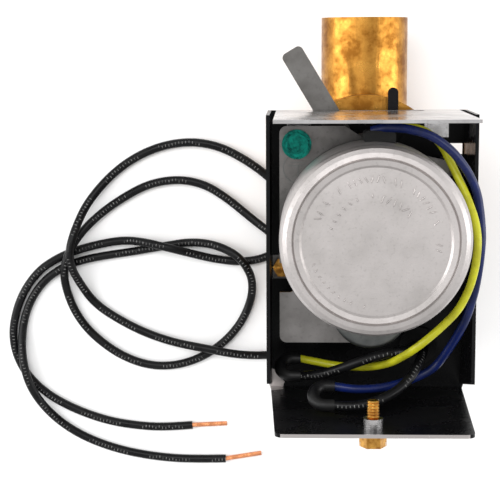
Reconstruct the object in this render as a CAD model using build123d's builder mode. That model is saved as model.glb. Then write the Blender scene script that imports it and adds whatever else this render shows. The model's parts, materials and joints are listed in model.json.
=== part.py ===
from build123d import *
import math
import os

# Zone valve: a brass ball-plug body under an open motor head, cover off, with two free line leads.
# Origin: middle of the body's flat underside, on the valve stem. +Y is one port, +Z is up.

os.makedirs("parts", exist_ok=True)

# ---- driving dimensions, mm -------------------------------------------------
BODY_LENGTH = 94.0          # face to face of the two sweat sockets
PIPE_Z = 22.0               # height of the pipe axis
STUB_R = 13.1               # outside of each socket
SOCKET_R = 11.2             # takes a 22.2 mm (7/8 in) copper tube
SOCKET_DEPTH = 19.0
STOP_R = 9.5                # bore past the tube stop
CUP_R = 24.2                # outside of the ball chamber
CUP_WALL = 3.5
CUP_TOP = 36.0
CUP_FLOOR = 11.0            # inside floor of the chamber
FOOT_R = 15.0
FOOT_Z = 8.0

BALL_R = 9.5                # rubber ball plug
BALL_ARM = 10.6             # stem axis to ball centre
CLOSED_ANGLE = 35.0         # ball centre from the -Y axis, towards -X, when closed
PORT_R = 5.4                # seat bore
SEAL_GAP = 0.3              # rubber to seat, left open so the pieces never overlap

STEM_R = 3.0
RUN_GAP = 0.05              # running fit, radial
LOOSE_GAP = 0.3             # parts that pass each other
STEM_TOP = 61.0
ARM_T = 2.4
ARM_W = 8.0
PIN_R = 1.6

BONNET_T = 3.5
BONNET_BOSS_R = 11.0
SCREW_R = 1.6               # bonnet and head screws
SCREW_CIRCLE = 26.6
LUG_R = 3.6
O_RING_R = 0.7

BASE_Z = 45.0               # underside of the head's sheet-metal base
SHEET = 1.0
HEAD_HALF = 29.0            # half the head's width
WALL_TOP = 74.0
FACE_Z = 100.0              # front edges of the flange and end plate, and the motor's face
FLANGE_Y = -63.3            # outer face of the cover flange
FLANGE_STEP = 0.6           # the flange is this much narrower than the base at its root
FLANGE_TAPER = 2.1          # and this much narrower again at its tip, each side
WALL_END_LOW = -61.5        # where the side walls stop, at the base
WALL_END_HIGH = -55.0       # and at their top
END_PLATE_Y = 20.0          # outer face of the end plate
END_PLATE_T = 0.9
END_PLATE_STEP = 2.4        # the end plate stands this far inside each wall
END_FOOT = 7.0              # square feet of the end plate, riveted to the base
END_FOOT_X = 20.0
HEAD_SCREW_X = 7.6
HEAD_SCREW_DEPTH = 4.5
CUTOUT = (HEAD_HALF - 3.4, 8.7)        # small window in the base beside the right wall

LEVER_T = 1.3
LEVER_W = 6.5
LEVER_REACH = 41.6
LEVER_LEAN = 31.0           # degrees from +Y towards -X, at rest
BUSH_R = 4.4
BUSH_TOP = 49.2
SLOT_HALF = 16.0

MODULE = 0.8                # sector and output pinion
SECTOR_TEETH = 60
PINION_TEETH = 12
SECTOR_Z = 55.2
SECTOR_T = 2.0

PLATE_Z = 66.0              # underside of the motor plate
MOTOR_Y = -11.5
CAN_R = 25.15
CAN_Z0 = 78.0
CAN_WALL = 0.8
CASE_R = 24.6
CASE_WALL = 1.2
EAR_R = 10.8                # round ear of the gear case, over the output gear
EAR_Y = -34.5
EAR_TOP = 72.2
TRAIN_MODULE = 0.4
WHEEL_TEETH = 40
SMALL_TEETH = 10
SPINDLE_R = 0.75

LEAD_R = 1.35               # black line leads
YELLOW_R = 1.1
BLUE_R = 1.2
SLEEVE_R = 1.75
GROMMET = (15.4, -49.6)
GROMMET_HOLE_R = 4.2
GROMMET_R = 5.6
LEAD_SPACING = 2.9
COPPER_R = 0.75

# ---- derived ----------------------------------------------------------------
CHAMBER_R = CUP_R - CUP_WALL
HALF = BODY_LENGTH / 2
BALL_X = -BALL_ARM * math.sin(math.radians(CLOSED_ANGLE))
BALL_Y = -BALL_ARM * math.cos(math.radians(CLOSED_ANGLE))
SEAT_Y = BALL_Y - math.sqrt((BALL_R + SEAL_GAP) ** 2 - PORT_R ** 2)
ARM_Z = PIPE_Z + BALL_R + 0.6
BONNET_TOP = CUP_TOP + BONNET_T
BASE_TOP = BASE_Z + SHEET
SECTOR_R = MODULE * SECTOR_TEETH / 2
PINION_R = MODULE * PINION_TEETH / 2
OUTPUT_Y = -(SECTOR_R + PINION_R)
CENTRES = TRAIN_MODULE * (WHEEL_TEETH + SMALL_TEETH) / 2
LEVER_Z = BUSH_TOP + RUN_GAP
LEVER_TOP = LEVER_Z + LEVER_T
LUG_ANGLES = (30, 150, 210, 330)
PLATE_TOP = PLATE_Z + SHEET
CAN_TOP = FACE_Z
FLANGE_HALF = HEAD_HALF - FLANGE_STEP
FLANGE_TIP_HALF = FLANGE_HALF - FLANGE_TAPER
END_PLATE_HALF = HEAD_HALF - END_PLATE_STEP
WALL_END = END_PLATE_Y
HEAD_SCREWS = ((-HEAD_SCREW_X, 0), (HEAD_SCREW_X, 0))
END_RIVETS = tuple((side * END_FOOT_X, END_PLATE_Y - END_PLATE_T - END_FOOT / 2) for side in (-1, 1))


def polar(radius, degrees):
    """The point at this radius and angle about the stem axis."""
    return (radius * math.cos(math.radians(degrees)), radius * math.sin(math.radians(degrees)))


def two_centre(a, b, radius):
    """The point at this distance from both a and b, on the right of the line from a to b."""
    dx = b[0] - a[0]
    dy = b[1] - a[1]
    gap = math.hypot(dx, dy)
    rise = math.sqrt(radius ** 2 - (gap / 2) ** 2)
    return ((a[0] + b[0]) / 2 - dy / gap * rise, (a[1] + b[1]) / 2 + dx / gap * rise)


def tooth_points(teeth, module, first, last, phase):
    """Straight-flanked teeth, a little slim so that meshing teeth keep a backlash."""
    pitch = 360 / teeth
    radius = module * teeth / 2
    tip = radius + 0.78 * module
    root = radius - 1.15 * module
    points = []
    for i in range(first, last):
        middle = phase + i * pitch
        for share, r in ((-0.31, root), (-0.11, tip), (0.11, tip), (0.31, root)):
            points.append(polar(r, middle + share * pitch))
    return points


def wheel_sketch(teeth, module, centre, phase):
    """A full gear outline about its centre, added to the sketch in hand."""
    points = [(centre[0] + x, centre[1] + y) for x, y in tooth_points(teeth, module, 0, teeth, phase)]
    Polygon(*points, align=None)


def finish(part, name):
    """Label one piece and write it."""
    part.label = name
    export_step(part, f"parts/{name}.step")


def wire_radii(points, limit=0.45):
    """One fillet radius for each corner of a wire's route: as large as its two runs allow."""
    radii = []
    for before, here, after in zip(points, points[1:], points[2:]):
        run_in = Vector(*here) - Vector(*before)
        run_out = Vector(*after) - Vector(*here)
        turn = math.radians(run_in.get_angle(run_out))
        radii.append(limit * min(run_in.length, run_out.length) / math.tan(turn / 2))
    return radii


def wire(points, radius, name):
    """A round wire along straight runs joined by tangent arcs."""
    radii = wire_radii(points)
    with BuildPart() as piece:
        with BuildLine():
            path = FilletPolyline(*points, radius=radii)
        with BuildSketch(Plane(origin=path @ 0, z_dir=path % 0)):
            Circle(radius)
        sweep(path=path)
    finish(piece.part, name)
    section = math.pi * radius ** 2
    print(f"{name}: length {path.length:.1f}, volume {piece.part.volume:.1f} of {section * path.length:.1f},"
          f" smallest radius {min(radii):.1f}")
    print("  radii", [round(r, 1) for r in radii])


# ---- valve body ---------------------------------------------------------------
PORT_PLANE = Plane(origin=(0, -HALF, PIPE_Z), x_dir=(1, 0, 0), z_dir=(0, 1, 0))
LUGS = [polar(SCREW_CIRCLE, a) for a in LUG_ANGLES]

with BuildPart() as valve_body:
    with BuildSketch(PORT_PLANE):
        Circle(STUB_R)
    extrude(amount=BODY_LENGTH)
    with BuildSketch(Plane.XY.offset(FOOT_Z)):
        Circle(CUP_R)
    extrude(amount=CUP_TOP - FOOT_Z)
    fillet(valve_body.edges().filter_by(GeomType.CIRCLE).group_by(Axis.Z)[0], 4.0)
    with BuildSketch(Plane.XY):
        Circle(FOOT_R)
    extrude(amount=CUP_FLOOR - 1)
    with BuildSketch(Plane.XY.offset(CUP_TOP - 5)):
        with Locations(*LUGS):
            Circle(LUG_R)
    extrude(amount=5)
    with BuildSketch(Plane.XY.offset(CUP_FLOOR)):
        Circle(CHAMBER_R)
    extrude(amount=CUP_TOP - CUP_FLOOR, mode=Mode.SUBTRACT)
    with BuildSketch(Plane(origin=(BALL_X, SEAT_Y, PIPE_Z), x_dir=(1, 0, 0), z_dir=(0, -1, 0))):
        Circle(PORT_R + 2.8)
    extrude(amount=CHAMBER_R + SEAT_Y + 3)
    for side in (-1, 1):
        with BuildSketch(Plane(origin=(0, side * HALF, PIPE_Z), x_dir=(1, 0, 0), z_dir=(0, -side, 0))):
            Circle(SOCKET_R)
        extrude(amount=SOCKET_DEPTH, mode=Mode.SUBTRACT)
    with BuildSketch(Plane(origin=(0, HALF - SOCKET_DEPTH, PIPE_Z), x_dir=(1, 0, 0), z_dir=(0, -1, 0))):
        Circle(STOP_R)
    extrude(amount=HALF - SOCKET_DEPTH - CHAMBER_R + 3, mode=Mode.SUBTRACT)
    with BuildSketch(Plane(origin=(0, SOCKET_DEPTH - HALF, PIPE_Z), x_dir=(1, 0, 0), z_dir=(0, 1, 0))):
        Circle(STOP_R)
    with BuildSketch(Plane(origin=(BALL_X, SEAT_Y, PIPE_Z), x_dir=(1, 0, 0), z_dir=(0, 1, 0))):
        Circle(PORT_R)
    loft(mode=Mode.SUBTRACT)
    with BuildSketch(Plane.XY.offset(CUP_TOP - 7)):
        with Locations(*LUGS):
            Circle(SCREW_R)
    extrude(amount=7, mode=Mode.SUBTRACT)
    with BuildSketch(Plane.XY.offset(CUP_TOP)):
        Circle(CHAMBER_R + 2.6)
        Circle(CHAMBER_R + 0.8, mode=Mode.SUBTRACT)
    extrude(amount=-2 * O_RING_R, mode=Mode.SUBTRACT)
finish(valve_body.part, "valve_body")

with BuildPart() as bonnet_o_ring:
    with BuildSketch(Plane.XZ):
        with Locations((CHAMBER_R + 1.7, CUP_TOP - O_RING_R)):
            Circle(O_RING_R)
    revolve(axis=Axis.Z)
finish(bonnet_o_ring.part, "bonnet_o_ring")

STEM_RING_Z = (CUP_TOP + 1.1, CUP_TOP + 3.9)
STEM_RING_R = 0.85
with BuildPart() as bonnet:
    with BuildSketch(Plane.XY.offset(CUP_TOP)):
        Circle(CUP_R)
        with Locations(*LUGS):
            Circle(LUG_R)
    extrude(amount=BONNET_T)
    with BuildSketch(Plane.XY.offset(BONNET_TOP)):
        Circle(BONNET_BOSS_R)
    extrude(amount=BASE_Z - BONNET_TOP)
    with BuildSketch(Plane.XY.offset(CUP_TOP)):
        Circle(CHAMBER_R - 0.1)
    extrude(amount=-0.9)
    with BuildSketch(Plane.XY.offset(CUP_TOP - 2)):
        Circle(STEM_R + RUN_GAP)
    extrude(amount=BASE_Z, mode=Mode.SUBTRACT)
    with BuildSketch(Plane.XY.offset(CUP_TOP + 6)):
        Circle(BUSH_R)
    extrude(amount=BASE_Z, mode=Mode.SUBTRACT)
    for z in STEM_RING_Z:
        with BuildSketch(Plane.XY.offset(z - STEM_RING_R)):
            Circle(STEM_R + RUN_GAP + 2 * STEM_RING_R)
        extrude(amount=2 * STEM_RING_R, mode=Mode.SUBTRACT)
    with BuildSketch(Plane.XY.offset(CUP_TOP)):
        with Locations(*LUGS):
            Circle(SCREW_R + 0.15)
    extrude(amount=BONNET_T, mode=Mode.SUBTRACT)
    with BuildSketch(Plane.XY.offset(BASE_Z - HEAD_SCREW_DEPTH - 0.5)):
        with Locations(*HEAD_SCREWS):
            Circle(SCREW_R)
    extrude(amount=HEAD_SCREW_DEPTH + 0.5, mode=Mode.SUBTRACT)
finish(bonnet.part, "bonnet")

with BuildPart() as stem_o_rings:
    with BuildSketch(Plane.XZ):
        for z in STEM_RING_Z:
            with Locations((STEM_R + RUN_GAP + STEM_RING_R, z)):
                Circle(STEM_RING_R)
    revolve(axis=Axis.Z)
finish(stem_o_rings.part, "stem_o_rings")

with BuildPart() as bonnet_screws:
    with BuildSketch(Plane.XY.offset(CUP_TOP - 6.5)):
        with Locations(*LUGS):
            Circle(SCREW_R)
    extrude(amount=BONNET_T + 6.5)
    with BuildSketch(Plane.XY.offset(BONNET_TOP)):
        with Locations(*LUGS):
            RegularPolygon(2.9, 6, major_radius=False)
    extrude(amount=2.4)
finish(bonnet_screws.part, "bonnet_screws")

with BuildPart() as stem_bushing:
    with BuildSketch(Plane.XY.offset(CUP_TOP + 6)):
        Circle(BUSH_R)
        Circle(STEM_R + RUN_GAP, mode=Mode.SUBTRACT)
    extrude(amount=BUSH_TOP - CUP_TOP - 6)
finish(stem_bushing.part, "stem_bushing")

# ---- stem, arm and ball plug ----------------------------------------------------
CLIP_Z = SECTOR_Z + SECTOR_T + 2.0
with BuildPart() as valve_stem:
    with BuildSketch(Plane.XY.offset(ARM_Z)):
        Circle(STEM_R)
    extrude(amount=STEM_TOP - ARM_Z)
    chamfer(valve_stem.edges().group_by(Axis.Z)[-1], 0.5)
    with BuildSketch(Plane.XY.offset(CLIP_Z)):
        Circle(STEM_R)
        Circle(STEM_R - 0.7, mode=Mode.SUBTRACT)
    extrude(amount=0.8, mode=Mode.SUBTRACT)
finish(valve_stem.part, "valve_stem")

with BuildPart() as crank_arm:
    with BuildSketch(Plane.XY.offset(ARM_Z)):
        with BuildLine():
            Line((0, 0), (BALL_X, BALL_Y))
        trace(line_width=ARM_W)
        Circle(ARM_W / 2)
        with Locations((BALL_X, BALL_Y)):
            Circle(ARM_W / 2)
        Circle(STEM_R, mode=Mode.SUBTRACT)
        with Locations((BALL_X, BALL_Y)):
            Circle(PIN_R, mode=Mode.SUBTRACT)
    extrude(amount=ARM_T)
finish(crank_arm.part, "crank_arm")

with BuildPart() as ball_pin:
    with BuildSketch(Plane.XY.offset(PIPE_Z - BALL_R + 0.4)):
        with Locations((BALL_X, BALL_Y)):
            Circle(PIN_R)
    extrude(amount=ARM_Z + ARM_T - PIPE_Z + BALL_R - 0.4)
finish(ball_pin.part, "ball_pin")

with BuildPart() as ball_plug:
    with Locations((BALL_X, BALL_Y, PIPE_Z)):
        Sphere(BALL_R)
        Cylinder(PIN_R, 3 * BALL_R, mode=Mode.SUBTRACT)
finish(ball_plug.part, "ball_plug")

# ---- head: base, end plate and their fasteners -----------------------------------
LEFT_FOOT = (-HEAD_HALF + 4.3, -26.0)
RIGHT_FOOT = (HEAD_HALF - 11.4, -25.0)
NUT_Z = FACE_Z - 7
NUT_X = -0.2
NUT_BARREL_R = 2.0
with BuildPart() as base_frame:
    with BuildSketch(Plane.XY.offset(BASE_Z)):
        with BuildLine():
            Polyline((-HEAD_HALF, WALL_END_LOW), (-FLANGE_HALF, FLANGE_Y), (FLANGE_HALF, FLANGE_Y),
                     (HEAD_HALF, WALL_END_LOW), (HEAD_HALF, WALL_END), (-HEAD_HALF, WALL_END), close=True)
        make_face()
        with Locations((7.4, END_PLATE_Y + 2.5)):
            SlotOverall(8, 3, rotation=90)
        Circle(BUSH_R + 0.2, mode=Mode.SUBTRACT)
        with Locations(*HEAD_SCREWS):
            Circle(SCREW_R + 0.2, mode=Mode.SUBTRACT)
        with Locations(GROMMET):
            Circle(GROMMET_HOLE_R, mode=Mode.SUBTRACT)
        with Locations(CUTOUT):
            Rectangle(4.2, 3.2, mode=Mode.SUBTRACT)
        with Locations(LEFT_FOOT, RIGHT_FOOT, *END_RIVETS):
            Circle(SCREW_R, mode=Mode.SUBTRACT)
    extrude(amount=SHEET)
    for side in (-1, 1):
        with BuildSketch(Plane.YZ.offset(side * (HEAD_HALF - SHEET / 2))):
            with BuildLine():
                Polyline((WALL_END_LOW, BASE_TOP), (WALL_END_HIGH, WALL_TOP), (WALL_END, WALL_TOP),
                         (WALL_END, BASE_TOP), close=True)
            make_face()
        extrude(amount=SHEET / 2, both=True)
    with BuildSketch(Plane.XZ.offset(-FLANGE_Y)):
        with BuildLine():
            Polyline((-FLANGE_HALF, BASE_TOP), (-FLANGE_TIP_HALF, FACE_Z),
                     (FLANGE_TIP_HALF, FACE_Z), (FLANGE_HALF, BASE_TOP), close=True)
        make_face()
        with Locations((NUT_X, NUT_Z)):
            Circle(NUT_BARREL_R, mode=Mode.SUBTRACT)
    extrude(amount=-SHEET)
    fillet(base_frame.edges().filter_by(Axis.Y).group_by(Axis.Z)[-1], 2.5)
finish(base_frame.part, "base_frame")

SLOT_Z = LEVER_Z - 0.9
with BuildPart() as end_plate:
    with BuildSketch(Plane.XZ.offset(-END_PLATE_Y)):
        with Locations((0, (BASE_TOP + FACE_Z) / 2)):
            Rectangle(2 * END_PLATE_HALF, FACE_Z - BASE_TOP)
        with Locations((0, SLOT_Z + 1.6)):
            Rectangle(2 * SLOT_HALF, 3.2, mode=Mode.SUBTRACT)
        with Locations((0.5, FACE_Z)):
            Rectangle(1.6, 1.0, mode=Mode.SUBTRACT)
    extrude(amount=END_PLATE_T)
    with BuildSketch(Plane.XY.offset(BASE_TOP)):
        with Locations(*END_RIVETS):
            Rectangle(END_FOOT, END_FOOT)
            Circle(SCREW_R, mode=Mode.SUBTRACT)
    extrude(amount=END_PLATE_T)
finish(end_plate.part, "end_plate")

with BuildPart() as end_plate_rivets:
    with BuildSketch(Plane.XY.offset(BASE_Z - 0.8)):
        with Locations(*END_RIVETS):
            Circle(SCREW_R)
    extrude(amount=0.8 + SHEET + END_PLATE_T)
    with BuildSketch(Plane.XY.offset(BASE_TOP + END_PLATE_T)):
        with Locations(*END_RIVETS):
            Circle(2.6)
    extrude(amount=0.9)
finish(end_plate_rivets.part, "end_plate_rivets")

with BuildPart() as head_screws:
    with BuildSketch(Plane.XY.offset(BASE_Z - HEAD_SCREW_DEPTH)):
        with Locations(*HEAD_SCREWS):
            Circle(SCREW_R)
    extrude(amount=HEAD_SCREW_DEPTH + SHEET)
    with BuildSketch(Plane.XY.offset(BASE_TOP)):
        with Locations(*HEAD_SCREWS):
            Circle(2.8)
    extrude(amount=1.8)
finish(head_screws.part, "head_screws")

COVER_SCREW_R = 1.75
with BuildPart() as clinch_nut:
    with BuildSketch(Plane.XZ.offset(-FLANGE_Y - SHEET)):
        with Locations((NUT_X, NUT_Z)):
            Circle(2.7)
            Circle(COVER_SCREW_R, mode=Mode.SUBTRACT)
    extrude(amount=-2.7)
    with BuildSketch(Plane.XZ.offset(-FLANGE_Y)):
        with Locations((NUT_X, NUT_Z)):
            Circle(NUT_BARREL_R)
            Circle(COVER_SCREW_R, mode=Mode.SUBTRACT)
    extrude(amount=-SHEET)
finish(clinch_nut.part, "clinch_nut")

# The shank's thread stands as rings, one for each pitch, past the nut.
THREAD_START = FLANGE_Y + SHEET + 2.7
THREAD_PITCH = 0.8
THREAD_RINGS = 6
THREAD_DEPTH = 0.32
thread = []
for i in range(THREAD_RINGS):
    y = THREAD_START + i * THREAD_PITCH
    thread.append((COVER_SCREW_R - THREAD_DEPTH, y + 0.1))
    thread.append((COVER_SCREW_R, y + THREAD_PITCH / 2))
THREAD_END = THREAD_START + THREAD_RINGS * THREAD_PITCH
SCREW_AXIS = Plane(origin=(NUT_X, 0, NUT_Z), x_dir=(1, 0, 0), z_dir=(0, 0, 1))
with BuildPart() as cover_screw:
    with BuildSketch(SCREW_AXIS):
        with BuildLine():
            Polyline((0, FLANGE_Y), (COVER_SCREW_R, FLANGE_Y), (COVER_SCREW_R, THREAD_START), *thread,
                     (COVER_SCREW_R - THREAD_DEPTH, THREAD_END), (0, THREAD_END), close=True)
        make_face()
    revolve(axis=Axis((NUT_X, 0, NUT_Z), (0, 1, 0)))
    with BuildSketch(Plane.XZ.offset(-FLANGE_Y)):
        with Locations((NUT_X, NUT_Z)):
            Circle(3.85)
    extrude(amount=1.0)
    with BuildSketch(Plane.XZ.offset(-FLANGE_Y + 1.0)):
        with Locations((NUT_X, NUT_Z)):
            RegularPolygon(3.17, 6, major_radius=False)
    extrude(amount=3.0)
    with BuildSketch(Plane.XZ.offset(-FLANGE_Y + 4.0)):
        with Locations((NUT_X, NUT_Z)):
            Rectangle(7, 0.9)
    extrude(amount=-1.2, mode=Mode.SUBTRACT)
finish(cover_screw.part, "cover_screw")

with BuildPart() as wire_grommet:
    with BuildSketch(Plane.XY.offset(BASE_Z - 1.5)):
        with Locations(GROMMET):
            Circle(GROMMET_R)
    extrude(amount=SHEET + 3.0)
    with BuildSketch(Plane.XY.offset(BASE_Z)):
        with Locations(GROMMET):
            Circle(GROMMET_R + 0.1)
            Circle(GROMMET_HOLE_R, mode=Mode.SUBTRACT)
    extrude(amount=SHEET, mode=Mode.SUBTRACT)
    with BuildSketch(Plane.XY.offset(BASE_Z - 2)):
        with Locations((GROMMET[0] - LEAD_SPACING / 2, GROMMET[1]), (GROMMET[0] + LEAD_SPACING / 2, GROMMET[1])):
            Circle(LEAD_R)
    extrude(amount=6, mode=Mode.SUBTRACT)
finish(wire_grommet.part, "wire_grommet")

# ---- manual lever ------------------------------------------------------------------
LEAN = 90 + LEVER_LEAN
with BuildPart() as manual_lever:
    with BuildSketch(Plane.XY.offset(LEVER_Z)):
        with Locations(Rotation(0, 0, LEAN)):
            with Locations((LEVER_REACH / 2, 0)):
                RectangleRounded(LEVER_REACH + 4, LEVER_W, 1.5)
        Circle(6.2)
        Circle(STEM_R + RUN_GAP, mode=Mode.SUBTRACT)
    extrude(amount=LEVER_T)
    with BuildSketch(Plane.XY.offset(LEVER_TOP)):
        with Locations(Rotation(0, 0, LEAN)):
            with Locations((15.5, -LEVER_W / 2 + 0.65)):
                Rectangle(4, 1.3)
    extrude(amount=SECTOR_Z - LOOSE_GAP - LEVER_TOP)
finish(manual_lever.part, "manual_lever")

# ---- sector gear, spring, clip --------------------------------------------------------
SECTOR_FIRST = -100.0
SECTOR_COUNT = 15
SECTOR_PITCH = 360 / SECTOR_TEETH
SPRING_R = 6.2
SPRING_WIRE = 0.9
SPRING_Z = LEVER_TOP + 1.2
SPRING_RISE = 2.7
SPRING_TURNS = 2.25
HOOK = (-9.5, SPRING_R - SPRING_WIRE / 2 - 0.85)

with BuildPart() as sector_gear:
    with BuildSketch(Plane.XY.offset(SECTOR_Z)):
        with BuildLine():
            teeth = tooth_points(SECTOR_TEETH, MODULE, 0, SECTOR_COUNT, -90 - 1.0 * SECTOR_PITCH)
            Polyline(polar(5, SECTOR_FIRST - 10), *teeth, polar(5, -90 + 15.5 * SECTOR_PITCH), (0, 1), close=True)
        make_face()
        Circle(7)
        with Locations(Rotation(0, 0, 100)):
            with Locations((8, 0)):
                RectangleRounded(12, 5, 1.5)
        with Locations(HOOK):
            Circle(1.9)
        with Locations((-5, 3)):
            Circle(4)
        Circle(STEM_R, mode=Mode.SUBTRACT)
        with Locations(polar(15, -52)):
            Circle(3.2, mode=Mode.SUBTRACT)
        with Locations(polar(15, -75), polar(15, -29)):
            Circle(2.4, mode=Mode.SUBTRACT)
    extrude(amount=SECTOR_T)
    with BuildSketch(Plane.XY.offset(LEVER_TOP + 0.4)):
        Circle(5.0)
        Circle(STEM_R, mode=Mode.SUBTRACT)
    extrude(amount=SECTOR_Z - LEVER_TOP - 0.4)
    with BuildSketch(Plane.XY.offset(SECTOR_Z)):
        with Locations(HOOK):
            Circle(0.8)
    extrude(amount=-2.2)
finish(sector_gear.part, "sector_gear")

with BuildPart() as stem_washer:
    with BuildSketch(Plane.XY.offset(SECTOR_Z + SECTOR_T)):
        Circle(5.5)
        Circle(STEM_R, mode=Mode.SUBTRACT)
    extrude(amount=CLIP_Z - SECTOR_Z - SECTOR_T)
finish(stem_washer.part, "stem_washer")

with BuildPart() as stem_clip:
    with BuildSketch(Plane.XY.offset(CLIP_Z)):
        Circle(5.0)
        Circle(STEM_R - 0.7, mode=Mode.SUBTRACT)
        with Locations((3.5, 0)):
            Rectangle(7, 3.6, mode=Mode.SUBTRACT)
    extrude(amount=0.75)
finish(stem_clip.part, "stem_clip")

POST = (SPRING_R - SPRING_WIRE / 2 - 1.3, -11.5)
# The wire comes in along +Y, winds round the stem and leaves along -X: a polygon with tangent arcs.
SPRING_STEPS = 12
SPRING_CORNERS = round(SPRING_TURNS * SPRING_STEPS)
SPRING_REACH = SPRING_R / math.cos(math.pi / SPRING_STEPS)
spring_route = [(SPRING_R, -13, SPRING_Z)]
for i in range(SPRING_CORNERS):
    x, y = polar(SPRING_REACH, (i + 0.5) * 360 / SPRING_STEPS)
    spring_route.append((x, y, SPRING_Z + SPRING_RISE * (i + 0.5) / SPRING_CORNERS))
spring_route.append((-12, SPRING_R, SPRING_Z + SPRING_RISE))
with BuildPart() as return_spring:
    with BuildLine():
        coil = FilletPolyline(*spring_route, radius=0.99 * SPRING_R)
    with BuildSketch(Plane(origin=coil @ 0, z_dir=coil % 0)):
        Circle(SPRING_WIRE / 2)
    sweep(path=coil)
finish(return_spring.part, "return_spring")

with BuildPart() as spring_post:
    with BuildSketch(Plane.XY.offset(BASE_TOP)):
        with Locations(POST):
            Circle(2.2)
    extrude(amount=2.0)
    with BuildSketch(Plane.XY.offset(BASE_TOP + 2.0)):
        with Locations(POST):
            Circle(1.3)
    extrude(amount=SPRING_Z + 1.5 - BASE_TOP - 2.0)
finish(spring_post.part, "spring_post")

# ---- motor plate ------------------------------------------------------------------------
PLATE_LEFT = -HEAD_HALF + 3.6
PLATE_RIGHT = HEAD_HALF - 7.4
PLATE_LOW = -44.6
PLATE_HIGH = 16.6
GROUND = (-20.6, 11.6)
GROUND_FLANGE_R = 4.1
CASE_SCREWS = ((-16, -18), (-10, 3), (14, 3))
CASE_SCREW_R = 1.2
LEG_W = 7.0
LEFT_LEG_X = LEFT_FOOT[0] + 4.0
RIGHT_LEG_X = PLATE_RIGHT - SHEET / 2
RIGHT_TAB_Y = 3.0
with BuildPart() as motor_plate:
    with BuildSketch(Plane.XY.offset(PLATE_Z)):
        with BuildLine():
            Polyline((PLATE_LEFT, PLATE_LOW), (4.0, PLATE_LOW), (PLATE_RIGHT, -27.0), (PLATE_RIGHT, 6.8),
                     (9.4, 9.6), (-2.5, 13.5), (-7.2, PLATE_HIGH), (PLATE_LEFT, PLATE_HIGH), close=True)
        make_face()
        fillet(vertices(), 2.0)
        with Locations((PLATE_LEFT, LEFT_FOOT[1])):
            RectangleRounded(8.4, 8.4, 1.5, mode=Mode.SUBTRACT)
        with Locations((0, OUTPUT_Y)):
            Circle(PINION_R + 1.8, mode=Mode.SUBTRACT)
        with Locations(GROUND):
            Circle(SCREW_R, mode=Mode.SUBTRACT)
        with Locations(*CASE_SCREWS):
            Circle(CASE_SCREW_R, mode=Mode.SUBTRACT)
    extrude(amount=SHEET)
    with BuildSketch(Plane.XY.offset(BASE_TOP)):
        with Locations((LEFT_LEG_X, LEFT_FOOT[1]), (RIGHT_LEG_X, RIGHT_FOOT[1]), (RIGHT_LEG_X, RIGHT_TAB_Y)):
            Rectangle(SHEET, LEG_W)
    extrude(amount=PLATE_Z - BASE_TOP)
    with BuildSketch(Plane.XY.offset(BASE_TOP)):
        with Locations((LEFT_LEG_X - LEG_W / 2, LEFT_FOOT[1]), (RIGHT_LEG_X - LEG_W / 2, RIGHT_FOOT[1])):
            Rectangle(LEG_W, LEG_W)
        with Locations((RIGHT_LEG_X + 2.0, RIGHT_TAB_Y)):
            Rectangle(4.0, 4.4)
        with Locations(LEFT_FOOT, RIGHT_FOOT):
            Circle(SCREW_R, mode=Mode.SUBTRACT)
    extrude(amount=SHEET)
finish(motor_plate.part, "motor_plate")

with BuildPart() as bracket_screws:
    with BuildSketch(Plane.XY.offset(BASE_Z - 2)):
        with Locations(LEFT_FOOT, RIGHT_FOOT):
            Circle(SCREW_R)
    extrude(amount=2 + SHEET + SHEET)
    with BuildSketch(Plane.XY.offset(BASE_TOP + SHEET)):
        with Locations(LEFT_FOOT, RIGHT_FOOT):
            RegularPolygon(2.6, 6, major_radius=False)
    extrude(amount=2.0)
    with BuildSketch(Plane.XY.offset(BASE_TOP + SHEET + 2.0)):
        with Locations(LEFT_FOOT, RIGHT_FOOT):
            Rectangle(6, 0.7)
    extrude(amount=-0.8, mode=Mode.SUBTRACT)
finish(bracket_screws.part, "bracket_screws")

with BuildPart() as ground_screw:
    with BuildSketch(Plane.XY.offset(PLATE_Z - 3)):
        with Locations(GROUND):
            Circle(SCREW_R)
    extrude(amount=3 + SHEET)
    with BuildSketch(Plane.XY.offset(PLATE_TOP)):
        with Locations(GROUND):
            Circle(GROUND_FLANGE_R)
    extrude(amount=0.9)
    with BuildSketch(Plane.XY.offset(PLATE_TOP + 0.9)):
        with Locations(GROUND):
            RegularPolygon(3.05, 6, major_radius=False, rotation=30)
    extrude(amount=2.3)
    with BuildSketch(Plane.XY.offset(PLATE_TOP + 3.2)):
        with Locations(GROUND):
            Circle(2.5)
    extrude(amount=-0.7, mode=Mode.SUBTRACT)
    with BuildSketch(Plane.XY.offset(PLATE_TOP + 2.5)):
        with Locations(GROUND):
            Rectangle(4.0, 1.1, rotation=20)
            Rectangle(1.1, 4.0, rotation=20)
    extrude(amount=-1.3, mode=Mode.SUBTRACT)
finish(ground_screw.part, "ground_screw")

with BuildPart() as case_screws:
    with BuildSketch(Plane.XY.offset(PLATE_Z)):
        with Locations(*CASE_SCREWS):
            Circle(CASE_SCREW_R)
    extrude(amount=4)
    with BuildSketch(Plane.XY.offset(PLATE_Z)):
        with Locations(*CASE_SCREWS):
            Circle(2.2)
    extrude(amount=-1.6)
finish(case_screws.part, "case_screws")

# ---- gear case and gear train ---------------------------------------------------------------
MOTOR = (0.0, MOTOR_Y)
OUTPUT = (0.0, OUTPUT_Y)
SECOND = (8.0, OUTPUT_Y + math.sqrt(CENTRES ** 2 - 8.0 ** 2))
FIRST = two_centre(MOTOR, SECOND, CENTRES)
CASE_FLOOR = PLATE_TOP + CASE_WALL
LEVEL_C = CASE_FLOOR + 0.8
LEVEL_B = LEVEL_C + 2.8
LEVEL_A = LEVEL_B + 2.4
BEARING_Z = CAN_Z0 - 1.2


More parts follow.
